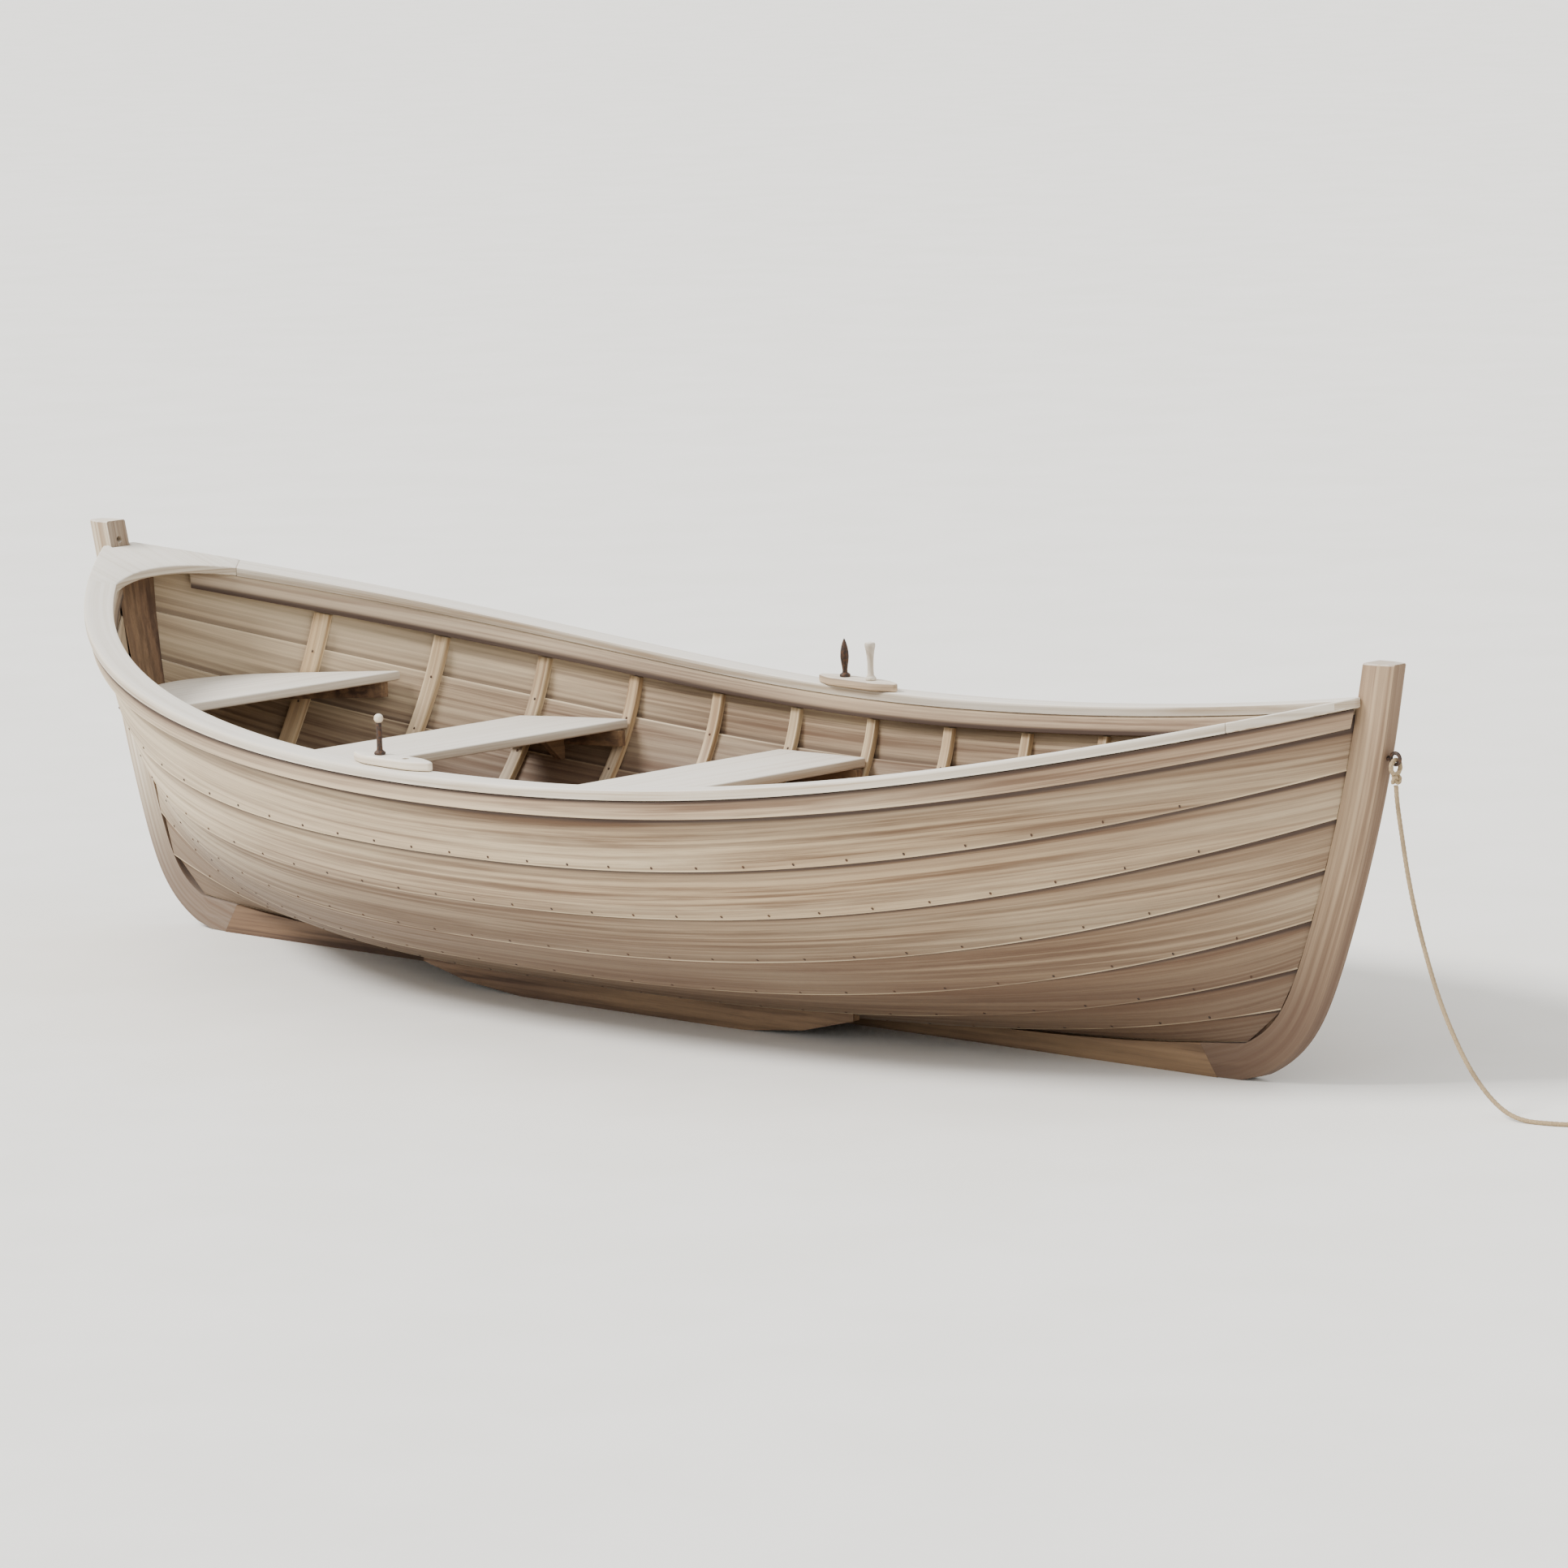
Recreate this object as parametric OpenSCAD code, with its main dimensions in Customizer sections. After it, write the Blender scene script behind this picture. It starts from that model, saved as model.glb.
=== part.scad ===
// Clinker-built, double-ended wooden rowing boat.
// +X is forward (the bow), +Y is port, +Z is up, and the keel stands on z = 0.
// A place on the hull is given by t, from -1 at the stern post to 1 at the stem, and by u,
// from 0 at the keel to 1 at the sheer. Outward distances are measured across the boat.

/* [Hull] */
// Length of the planking along the sheer
hull_length = 4000; // [3200:10:4900]
// Width inside the planking at the sheer, amidships
hull_beam = 1540; // [1250:10:1860]
// Height of the sheer amidships
sheer_height = 595; // [490:5:720]
// How much higher the sheer is at the bow
bow_rise = 233; // [150:1:300]
// How much higher the sheer is at the stern
stern_rise = 317; // [200:1:380]
// How far the foot of the stem lies behind its head
bow_sweep = 304; // [250:1:370]
// How far the foot of the stern post lies ahead of its head
stern_sweep = 237; // [190:1:290]

/* [Planking] */
// Thickness of a strake
plank_thick = 9; // [7:0.5:11]
// Width of the land, where two strakes overlap
land_width = 20; // [16:1:25]

/* [Backbone] */
// Depth of the keel under the planking amidships
keel_depth = 45; // [38:1:55]
// Width of the keel and of the stems
keel_width = 60; // [50:1:72]
// Fore-and-aft depth of the stems ahead of the planking
stem_depth = 78; // [65:1:94]
// Width of the front of the stems
stem_nose = 40; // [32:1:48]
// Height of the stem head above the sheer
bow_head = 97; // [80:1:116]
// Height of the stern post's head above the sheer
stern_head = 85; // [70:1:102]
// Width of the hog, inside on the keel
hog_width = 110; // [90:1:132]
// Thickness of the hog above the garboards
hog_thick = 18; // [15:1:22]
// Length of a bilge keel
bilge_keel_length = 1400; // [1100:10:1650]
// Width of a bilge keel
bilge_keel_width = 26; // [20:1:32]
// Length over which each end of a bilge keel rises to the planking
bilge_keel_taper = 240; // [200:5:285]
// Depth of a bilge keel at its two ends
bilge_keel_tip = 9; // [7:0.5:11]

/* [Frames] */
// Distance between ribs
rib_spacing = 250; // [210:1:260]
// Width of a rib, fore and aft
rib_width = 28; // [22:1:34]
// Thickness of a rib
rib_thick = 16; // [13:1:20]
// Width of a floor board
board_width = 96; // [80:1:110]
// Thickness of a floor board
board_thick = 12; // [10:1:15]

/* [Rails] */
// Thickness of the inwale
inwale_thick = 30; // [26:1:36]
// Depth of the inwale
inwale_depth = 50; // [42:1:60]
// Thickness of the rubbing strake
rub_thick = 24; // [20:1:29]
// Depth of the rubbing strake
rub_depth = 46; // [38:1:54]
// Thickness of the gunwale cap
cap_thick = 22; // [18:1:27]
// How far the cap overhangs each rail
cap_overhang = 5; // [3:1:8]

/* [Seats] */
// Thickness of the seats
seat_thick = 24; // [20:1:29]
// Width of the rowing thwart and of the after thwart
thwart_width = 280; // [230:1:340]
// Height of the rowing thwart's top
rowing_height = 462; // [420:1:480]
// Height of the after thwart's top
after_height = 505; // [470:1:530]
// Height of the stern sheets' top
sheets_height = 610; // [580:1:640]
// Depth of the bearers under the seats
bearer_depth = 38; // [30:1:46]
// Thickness of the bearers
bearer_thick = 22; // [18:1:27]

/* [Tholes] */
// Radius of a thole pin's shank
pin_radius = 8; // [6.5:0.5:9.5]
// Radial clearance of the pin in its hole
pin_clearance = 0.3; // [0.2:0.05:0.4]
// Distance between the two tholes of a pair
thole_gap = 85; // [70:1:102]
// Length of a thole pad
pad_length = 250; // [210:1:300]
// Width of a thole pad
pad_width = 58; // [48:1:66]
// Thickness of a thole pad
pad_thick = 20; // [16:1:24]
// Height of a thole pin above its pad
pin_height = 92; // [76:1:110]

/* [Painter] */
// Diameter of the painter
rope_size = 10; // [8:0.5:12]
// Radius of the bar of the stem's eye bolt
eye_bar = 4; // [3.5:0.5:5]
// Radius of the eye, to the middle of its bar
eye_radius = 12; // [11:0.5:14]

/* [Hidden] */

// Colours of weathered wood, and of what isn't wood
pale_wood = "#e4dfd6";
warm_wood = "#b79b76";
dark_wood = "#8d7358";
iron = "#4a4744";
rope = "#b9a98c";

// Shape of the hull's curves
bow_fullness = 3.67;
stern_fullness = 3.38;
bow_blend = 2.15;
stern_blend = 3.04;
sheer_power = 2.06;
rocker = 40;
rocker_power = 4;
sweep_power = 1.5;
bow_sweep_above = 172;
stern_sweep_above = 38;
forefoot_reach = 80;
forefoot_height = 45;
bilge_angle = 86;
// Height from which the hull's skin is seen to bulge outward
middle_height = 500;
// Lower edge of each strake, as a share of the way from keel to sheer
lands = [0, 0.11, 0.235, 0.38, 0.53, 0.68, 0.82, 1];
strake_count = len(lands) - 1;
// Clearance between two faces of wood
gap = 0.4;
// Half the space between the two garboards along the keel
seam_y = plank_thick + 3;
stations = [
    -1, -0.98, -0.95, -0.91, -0.86, -0.8, -0.7, -0.6, -0.5, -0.4, -0.3, -0.2, -0.1, 0,
    0.1, 0.2, 0.3, 0.4, 0.5, 0.6, 0.7, 0.8, 0.86, 0.91, 0.95, 0.98, 1
];
last_station = len(stations) - 1;

function clip(v, low, high) = min(max(v, low), high);
function mix(a, b, share) = a + (b - a) * share;
function rise(t) = t > 0 ? bow_rise : stern_rise;
function fullness(t) = t > 0 ? bow_fullness : stern_fullness;
function blend(t) = pow(abs(t), t > 0 ? bow_blend : stern_blend);
function sheer_z(t) = sheer_height + rise(t) * pow(abs(t), sheer_power);
function rabbet_z(t) = keel_depth + rocker * pow(abs(t), rocker_power);
function sheer_y(t) = seam_y + (hull_beam / 2 - seam_y) * (1 - pow(abs(t), fullness(t)));

// How far the ends of the planking lie inboard at height z; side is 1 at the bow, -1 at the stern
function sweep_at(side, z) =
    let (
        sweep = side > 0 ? bow_sweep : stern_sweep,
        top = sheer_z(side) + (side > 0 ? bow_sweep_above : stern_sweep_above),
        foot = clip(z - rabbet_z(side), 0, sheer_height)
    )
    sweep * pow(clip(1 - z / top, 0, 1), sweep_power)
    + forefoot_reach * exp(-foot / forefoot_height);

// Distance from amidships to the end of the planking at u
function reach(side, u) =
    let (z = mix(rabbet_z(side), sheer_z(side), u))
    hull_length / 2 - sweep_at(side, z) + sweep_at(side, sheer_z(side));

// A point of the hull's inner surface
function hull_point(t, u) =
    let (
        angle = u * bilge_angle,
        out = sin(angle) / sin(bilge_angle),
        up = (1 - cos(angle)) / (1 - cos(bilge_angle)),
        straight = blend(t)
    )
    [
        t * reach(sign(t), u),
        seam_y + (sheer_y(t) - seam_y) * mix(out, u, straight),
        rabbet_z(t) + (sheer_z(t) - rabbet_z(t)) * mix(up, u, straight)
    ];

// The way out of the hull at a point, across the boat
function hull_out(t, u) =
    let (
        step = 0.004,
        along = hull_point(t, u + step) - hull_point(t, u - step),
        size = norm([along.y, along.z])
    )
    [0, along.z / size, -along.y / size];

function skin(t, u, out) = hull_point(t, u) + out * hull_out(t, u);

// Distance round the section from keel to sheer
function girth(t) =
    let (steps = 6, points = [for (n = [0 : steps]) hull_point(t, n / steps)])
    norm(points[1] - points[0]) + norm(points[2] - points[1]) + norm(points[3] - points[2])
    + norm(points[4] - points[3]) + norm(points[5] - points[4]) + norm(points[6] - points[5]);

function land_share(t) = land_width / girth(t);

// Upper edge of strake n, which reaches a land's width behind the next strake
function strake_top(n, t) = n == strake_count - 1 ? 1 : lands[n + 1] + land_share(t);

// Station interval that holds t
function interval(t) =
    let (found = [for (k = [0 : last_station - 1]) if (t < stations[k + 1]) k])
    len(found) > 0 ? found[0] : last_station - 1;

// The skin at a given x, on the straight lines between stations
function skin_at(x, u, out) =
    let (
        t = x / reach(x < 0 ? -1 : 1, u),
        k = interval(t),
        share = (t - stations[k]) / (stations[k + 1] - stations[k])
    )
    mix(skin(stations[k], u, out), skin(stations[k + 1], u, out), share);

// Top edge of the planking at x
function sheer_at(x) = skin_at(x, 1, 0).z;

// Outward level direction of the sheer at t
function sheer_out(t) =
    let (
        step = 0.004,
        along = hull_point(min(t + step, 1), 1) - hull_point(max(t - step, -1), 1),
        size = norm([along.x, along.y])
    )
    [-along.y / size, along.x / size, 0];

// Offsets of a strake's inner face at its lower edge and above the land below
lap_out = plank_thick + gap;
function lap_in(n, t) =
    lap_out * (1 - land_share(t) / (strake_top(n, t) - lands[n]));

// Section of strake n at station t: inner face upward, then outer face downward
function strake_ring(n, t) =
    let (
        low = lands[n],
        land = land_share(t),
        top = strake_top(n, t),
        first = n == 0,
        last = n == strake_count - 1
    )
    [
        skin(t, low, first ? gap : lap_out),
        skin(t, low + land, first ? gap : lap_in(n, t)),
        skin(t, top, 0),
        skin(t, top, last ? plank_thick : lap_in(n + 1, t) - gap),
        last ? strake_face(n, t, 0.9, 0) : skin(t, lands[n + 1], plank_thick),
        skin(t, low, first ? plank_thick : lap_out + plank_thick)
    ];

// A point of strake n's outer face, share of the way up it, and a little further out
function strake_face(n, t, share, out) =
    mix(
        skin(t, lands[n], (n == 0 ? plank_thick : lap_out + plank_thick) + out),
        skin(t, lands[n + 1], plank_thick + out),
        share
    );

// A point of strake n's inner face above the land, share of the way up it, and further in
function strake_back(n, t, share, in) =
    mix(
        skin(t, lands[n] + land_share(t), (n == 0 ? gap : lap_in(n, t)) - in),
        skin(t, strake_top(n, t), -in),
        share
    );

// Share of the sheer strake's inner face that lies below a depth under the sheer
function sheer_share(t, depth) =
    let (n = strake_count - 1)
    1 - depth / (girth(t) * (1 - lands[n] - land_share(t)));

// How far a point is from the middle of the boat, which tells the outer of two diagonals
function away(p) = norm([p.y, p.z - middle_height]);

// One solid through a list of rings with as many points each
module loft(rings) {
    count = len(rings[0]);
    points = [for (ring = rings, p = ring) p];
    sides = [
        for (r = [0 : len(rings) - 2], i = [0 : count - 1])
            let (
                j = (i + 1) % count,
                a = r * count + i,
                b = r * count + j,
                c = (r + 1) * count + j,
                d = (r + 1) * count + i,
                first = away((points[a] + points[c]) / 2) > away((points[b] + points[d]) / 2)
            )
            each first ? [[a, b, c], [a, c, d]] : [[a, b, d], [b, c, d]]
    ];
    front = (len(rings) - 1) * count;
    ends = [
        for (i = [2 : count - 1])
            let (j = (i + 1) % count)
            each [[1, j, i], [front + 1, front + i, front + j]]
    ];
    polyhedron(points = points, faces = concat(sides, ends));
}

// Port piece as drawn, or its mirror image to starboard
module on_side(side) {
    mirror([0, side == "port" ? 0 : 1, 0]) children();
}

module strake(side, n) {
    color(n % 2 == 0 ? "#b79b76" : "#a98d69")
    on_side(side)
    loft([for (t = stations) strake_ring(n, t)]);
}

/* Backbone */

// Height of the keel's shoulder under the garboards at station t
function shoulder_z(t) = skin(t, 0, plank_thick + gap).z - gap;
// Rabbet and shoulder heights at x, on the straight lines between stations
function keel_line(x) =
    let (
        t = x / reach(x < 0 ? -1 : 1, 0),
        k = interval(t),
        share = (t - stations[k]) / (stations[k + 1] - stations[k])
    )
    [
        mix(rabbet_z(stations[k]), rabbet_z(stations[k + 1]), share),
        mix(shoulder_z(stations[k]), shoulder_z(stations[k + 1]), share)
    ];
// Where the keel is scarfed to the stems, and how far the scarf slopes
scarf_inset = 110;
scarf_slope = 60;
bow_scarf = reach(1, 0) - scarf_inset;
stern_scarf = -(reach(-1, 0) - scarf_inset);
keel_stations = [for (t = stations)
    let (x = hull_point(t, 0).x)
    if (x > stern_scarf + scarf_slope && x < bow_scarf - scarf_slope) x];

// Place of a sloping scarf's face at height z, and the shoulder or rabbet height there
function scarf_x(x, lean, z) = x + lean * (1 - z / keel_depth);
function scarf_z(x, lean, which) = keel_line(scarf_x(x, lean, keel_line(x)[which]))[which];

// Ring of the keel at x; lean slopes the ring, for the scarfs
function keel_ring(x, half, low, high, lean) = [
    [scarf_x(x, lean, low), -half, low],
    [scarf_x(x, lean, high), -half, high],
    [scarf_x(x, lean, high), half, high],
    [scarf_x(x, lean, low), half, low]
];

module keel() {
    neck = seam_y - gap;
    neck_root = 5;
    xs = concat([stern_scarf], keel_stations, [bow_scarf]);
    leans = concat([-scarf_slope / 2], [for (x = keel_stations) 0], [scarf_slope / 2]);
    color(dark_wood)
    union() {
        loft([for (i = [0 : len(xs) - 1])
            keel_ring(xs[i], keel_width / 2, 0, scarf_z(xs[i], leans[i], 1), leans[i])]);
        loft([for (i = [0 : len(xs) - 1])
            keel_ring(xs[i], neck, scarf_z(xs[i], leans[i], 1) - neck_root,
                scarf_z(xs[i], leans[i], 0), leans[i])]);
    }
}

// Half-width of the hog at x: it narrows with the garboards towards the ends
function hog_half(x) = min(hog_width / 2, skin_at(x, strake_top(0, 0), 0).y * 0.62);
// Space between the hog's side and the garboard
hog_seat = 3.2;
// Lower edge of the hog's side, over the garboard's inner face
function hog_edge(x) =
    let (
        narrow = skin_at(x, 0, -hog_seat),
        wide = skin_at(x, strake_top(0, x / (hull_length / 2)), -hog_seat)
    )
    mix(narrow, wide, (hog_half(x) - narrow.y) / (wide.y - narrow.y));
function hog_top(x) = max(keel_line(x)[0] + hog_thick, hog_edge(x).z + hog_thick / 3);
hog_reach = 0.81;
hog_stations = [for (t = stations) if (abs(t) < hog_reach) hull_point(t, 0).x];
hog_tops = [for (x = hog_stations) [x, hog_top(x)]];

module hog() {
    color(dark_wood)
    loft([for (x = hog_stations)
        let (
            edge = hog_edge(x),
            bottom = keel_line(x)[0] + gap,
            top = lookup(x, hog_tops)
        )
        [
            [x, seam_y - gap, bottom],
            [x, -seam_y + gap, bottom],
            [x, -edge.y, max(edge.z, bottom)],
            [x, -edge.y, top],
            [x, edge.y, top],
            [x, edge.y, max(edge.z, bottom)]
        ]]);
}

// Section of a stem: a point of its back, the direction forward, its depth and its nose's width
function stem_ring(back, dir, depth, nose) =
    let (shoulder = 0.55)
    [
        [back.x, keel_width / 2, back.z],
        [back.x + dir.x * depth * shoulder, keel_width / 2, back.z + dir.z * depth * shoulder],
        [back.x + dir.x * depth, nose / 2, back.z + dir.z * depth],
        [back.x + dir.x * depth, -nose / 2, back.z + dir.z * depth],
        [back.x + dir.x * depth * shoulder, -keel_width / 2, back.z + dir.z * depth * shoulder],
        [back.x, -keel_width / 2, back.z]
    ];

// Level place of the head's front beyond the sheer's end
head_reach = 98;
// Space between the stems' heels and the garboards over them
heel_gap = 1.2;
stem_steps = [0, 0.02, 0.045, 0.08, 0.13, 0.2, 0.3, 0.42, 0.56, 0.7, 0.85, 1];

// The stem at the bow, or the stern post at the stern, lofted from its scarf to its head
module stem_timber(side, head_height) {
    x_scarf = side > 0 ? bow_scarf : -stern_scarf;
    x_foot = reach(side, 0) - 20;
    z_scarf = scarf_z(side * x_scarf, side * scarf_slope / 2, 1) - heel_gap;
    z_foot = keel_line(side * x_foot)[1] - heel_gap;
    heel = [
        [for (p = stem_ring([x_scarf, 0, z_scarf], [0, 0, -1], z_scarf, keel_width))
            [scarf_x(x_scarf, scarf_slope / 2, p.z) + gap, p.y, p.z]],
        stem_ring([x_foot, 0, z_foot], [0, 0, -1], z_foot, mix(keel_width, stem_nose, 0.6))
    ];
    rise = [for (u = stem_steps)
        let (
            z = mix(rabbet_z(side), sheer_z(side), u),
            here = [reach(side, u), 0, z],
            above = [reach(side, u + 0.01), 0, mix(rabbet_z(side), sheer_z(side), u + 0.01)],
            along = (above - here) / norm(above - here),
            dir = [along.z, 0, -along.x],
            depth = min(stem_depth, dir.z < 0 ? -z / dir.z : stem_depth)
        )
        stem_ring(here + 3 * gap * dir, dir, depth, stem_nose)];
    head = [stem_ring(
        [hull_length / 2 + head_reach - stem_depth, 0, sheer_z(side) + head_height],
        [1, 0, 0], stem_depth, stem_nose)];
    mirror([side > 0 ? 0 : 1, 0, 0]) loft(concat(heel, rise, head));
}

// Height and level place of the painter's eye bolt
eye_z = sheer_z(1) - 103;
eye_u = (eye_z - rabbet_z(1)) / (sheer_z(1) - rabbet_z(1));
eye_slack = 8;
eye_x = reach(1, eye_u) + stem_depth + eye_radius + eye_bar + eye_slack;
bolt_radius = 5;
bolt_reach = 130;
bolt_clearance = 0.2;

module bolt_hole() {
    translate([eye_x, 0, eye_z])
    rotate([0, -90, 0])
    cylinder(r = bolt_radius + bolt_clearance, h = bolt_reach + 60, $fn = 48);
}

module stem() {
    color(warm_wood)
    difference() {
        stem_timber(1, bow_head);
        bolt_hole();
    }
}

// Hole fore and aft through the stern post's head, for a line
head_hole_radius = 8;
head_hole_drop = 47;

module stern_post() {
    color(pale_wood)
    difference() {
        stem_timber(-1, stern_head);
        translate([
            -(hull_length / 2 + head_reach) - stem_depth, 0,
            sheer_z(-1) + stern_head - head_hole_drop])
        rotate([0, 90, 0])
        cylinder(r = head_hole_radius, h = head_reach + 2 * stem_depth, $fn = 48);
    }
}

// Inner post between the ends of the strakes
module apron(side) {
    t_in = 0.98 * side;
    us = concat([0.03], [for (n = [0 : strake_count - 2]) strake_top(n, t_in)], [0.985]);
    mirror([side > 0 ? 0 : 1, 0, 0])
    loft([for (u = us)
        let (
            wide = skin(t_in, u, -gap),
            narrow = skin(side, u, -gap)
        )
        [
            [abs(wide.x), wide.y, wide.z],
            [abs(narrow.x) - gap, narrow.y, narrow.z],
            [abs(narrow.x) - gap, -narrow.y, narrow.z],
            [abs(wide.x), -wide.y, wide.z]
        ]]);
}

module bow_apron() {
    color(dark_wood)
    difference() {
        apron(1);
        bolt_hole();
    }
}

module stern_apron() {
    color(dark_wood) apron(-1);
}

// Which strake carries the bilge keels, how far up it they lie, and the t of their ends
bilge_keel_strake = 1;
bilge_keel_low = 0.45;
bilge_keel_gap = 1.3;
bilge_keel_end = bilge_keel_length / 2 / reach(1, lands[2]);
bilge_keel_rise = bilge_keel_taper / reach(1, lands[2]);
bilge_keel_stations = concat(
    [-bilge_keel_end],
    [for (t = stations) if (abs(t) < bilge_keel_end - 0.02) t],
    [bilge_keel_end]
);

// How high the foot of a bilge keel lies at t, where its inner edge is z high
function bilge_keel_foot(t, z) =
    max(0, 1 - (bilge_keel_end - abs(t)) / bilge_keel_rise) * (z - bilge_keel_tip);

module bilge_keels() {
    color(dark_wood)
    for (side = ["port", "starboard"])
        on_side(side)
        loft([for (t = bilge_keel_stations)
            let (
                width = norm(strake_face(bilge_keel_strake, t, 1, 0)
                    - strake_face(bilge_keel_strake, t, 0, 0)),
                high = bilge_keel_low + bilge_keel_width / width,
                a = strake_face(bilge_keel_strake, t, bilge_keel_low, bilge_keel_gap),
                b = strake_face(bilge_keel_strake, t, high, bilge_keel_gap),
                foot = bilge_keel_foot(t, a.z)
            )
            [a, b, [b.x, b.y, foot], [a.x, a.y, foot]]]);
}

/* Frames */

first_rib = -1650;
// How far round the section a rib's head stops below the inwale
rib_top_gap = 10;
function rib_x(n) = first_rib + (n - 1) * rib_spacing;
function nearest_rib(x) = first_rib + rib_spacing * round((x - first_rib) / rib_spacing);

// Rib's face on the port side at x, from the keel up; depth is inward from the planking
function rib_side(x, depth) =
    let (
        t = x / (hull_length / 2),
        here = nearest_rib(x),
        over_hog = here > hog_stations[0] && here < hog_stations[len(hog_stations) - 1],
        climb = depth - gap,
        centre = over_hog
            ? [[x, hog_edge(x).y, lookup(x, hog_tops) + gap + climb]]
            : [],
        last = strake_count - 1
    )
    concat(
        centre,
        [for (n = [0 : last - 1]) skin_at(x, strake_top(n, t), -depth)],
        [mix(
            skin_at(x, strake_top(last - 1, t), -depth),
            skin_at(x, 1, -depth),
            sheer_share(t, inwale_depth + rib_top_gap)
        )]
    );

module rib(n) {
    fore = rib_x(n) + rib_width / 2;
    aft = rib_x(n) - rib_width / 2;
    faces = [
        rib_side(aft, gap + rib_thick), rib_side(fore, gap + rib_thick),
        rib_side(fore, gap), rib_side(aft, gap)
    ];
    count = len(faces[0]);
    port = [for (i = [count - 1 : -1 : 0]) [for (f = faces) f[i]]];
    starboard = [for (i = [0 : count - 1]) [for (f = faces) [f[i].x, -f[i].y, f[i].z]]];
    color(n % 2 == 0 ? "#c4ab86" : "#b69c77")
    loft(concat(port, starboard));
}

// Height of the ribs' inner face at a place, and half the width between the ribs
rib_inner = gap + rib_thick;
function floor_z(x, y) =
    let (side = rib_side(x, rib_inner))
    lookup(abs(y), concat([[0, side[0].z]], [for (p = side) [p.y, p.z]]));
function wall_y(x, z) = lookup(z, [for (p = rib_side(x, rib_inner)) [p.z, p.y]]);

board_gap = 14;
// Reach of the floor boards forward and aft, from the middle board outward
board_reach = [1080, 900, 620];

module floor_board(row) {
    low = max(0, row * (board_width + board_gap) - board_width / 2);
    high = row * (board_width + board_gap) + board_width / 2;
    left = row == 0 ? -high : low;
    xs = [for (x = [-board_reach[row] : 60 : board_reach[row]]) x];
    loft([for (x = xs) [
        [x, left, floor_z(x, left) + gap + board_thick],
        [x, high, floor_z(x, high) + gap + board_thick],
        [x, high, floor_z(x, high) + gap],
        [x, left, floor_z(x, left) + gap]
    ]]);
}

module floor_boards() {
    color("#9c8466") {
        floor_board(0);
        for (side = ["port", "starboard"], row = [1, 2])
            on_side(side) floor_board(row);
    }
}

/* Seats */

// Clearance of a seat or a bearer beside the ribs
seat_clearance = 0.6;
rowing_x = (rib_x(6) + rib_x(7)) / 2;
after_x = (rib_x(3) + rib_x(4)) / 2;
sheets_front = -1460;
sheets_back = -1740;
sheets_bulge = 70;
function seat_bottom(height) = height - seat_thick;

// Edge of what lies beside the port ribs from x1 to x2 at height z, inset from them
function beside_ribs(x1, x2, z, inset) =
    let (steps = 5)
    [for (i = [0 : steps])
        let (x = mix(x1, x2, i / steps))
        [x, wall_y(x, z) - seat_clearance - inset]];

// Outline from a port edge, the points between its two ends, and its mirror image
function closed_outline(edge, between) =
    concat(edge, between, [for (i = [len(edge) - 1 : -1 : 0]) [edge[i].x, -edge[i].y]]);

module seat(x1, x2, height) {
    bottom = seat_bottom(height);
    translate([0, 0, bottom])
    linear_extrude(seat_thick)
    polygon(closed_outline(beside_ribs(x1, x2, bottom, 0), []));
}

module rowing_thwart() {
    color(pale_wood)
    seat(rowing_x - thwart_width / 2, rowing_x + thwart_width / 2, rowing_height);
}

module after_thwart() {
    color(pale_wood)
    seat(after_x - thwart_width / 2, after_x + thwart_width / 2, after_height);
}

// The seat in the stern, whose after edge bulges towards the stern post
module stern_sheets() {
    bottom = seat_bottom(sheets_height);
    half = wall_y(sheets_back, bottom) - seat_clearance;
    steps = 10;
    bulge = [for (i = [1 : steps - 1])
        let (y = mix(half, -half, i / steps))
        [sheets_back - sheets_bulge * (1 - pow(y / half, 2)), y]];
    color(pale_wood)
    translate([0, 0, bottom])
    linear_extrude(seat_thick)
    polygon(closed_outline(beside_ribs(sheets_front, sheets_back, bottom, 0), bulge));
}

// A pair of bearers under a seat, held by the ribs
module bearer_pair(x1, x2, height) {
    bottom = seat_bottom(height) - gap - bearer_depth;
    translate([0, 0, bottom])
    linear_extrude(bearer_depth)
    difference() {
        polygon(closed_outline(beside_ribs(x1, x2, bottom, 0), []));
        polygon(closed_outline(beside_ribs(x1 - 1, x2 + 1, bottom, bearer_thick), []));
    }
}

module seat_bearers() {
    over = 12;
    color(dark_wood) {
        bearer_pair(rib_x(6) - rib_width / 2 - over, rib_x(7) + rib_width / 2 + over, rowing_height);
        bearer_pair(rib_x(3) - rib_width / 2 - over, rib_x(4) + rib_width / 2 + over, after_height);
        bearer_pair(rib_x(1) - rib_width / 2 - over, sheets_front - over, sheets_height);
    }
}

knee_leg = 74;
knee_width = 24;

// Knees under the after thwart, inboard of its bearers
module thwart_knees() {
    top = seat_bottom(after_height) - gap;
    foot = top - knee_leg;
    x = after_x - knee_width / 2;
    low = top - bearer_depth - 2 * gap;
    bearer_face = wall_y(x, low) - seat_clearance - bearer_thick - 2 * gap;
    wall = wall_y(x, foot) - 2 * seat_clearance;
    edge = 12;
    color(dark_wood)
    for (side = ["port", "starboard"])
        on_side(side)
        translate([after_x + knee_width / 2, 0, 0])
        rotate([0, -90, 0])
        linear_extrude(knee_width)
        polygon([
            [top, bearer_face], [top, bearer_face - knee_leg], [top - edge, bearer_face - knee_leg],
            [foot, wall - edge], [foot, wall], [low, wall], [low, bearer_face]
        ]);
}

/* Rails */

rail_end = 0.95;
cap_end = 0.91;
rub_end = 0.996;
cap_gap = 0.6;
rub_gap = 1.8;

// A point of a rail's top face: out from the planking's top edge, level with the sheer there
function rail_point(t, edge, out, drop) =
    let (p = skin(t, 1, edge) + out * sheer_out(t))
    [p.x, p.y, sheer_at(p.x) - drop];

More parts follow.
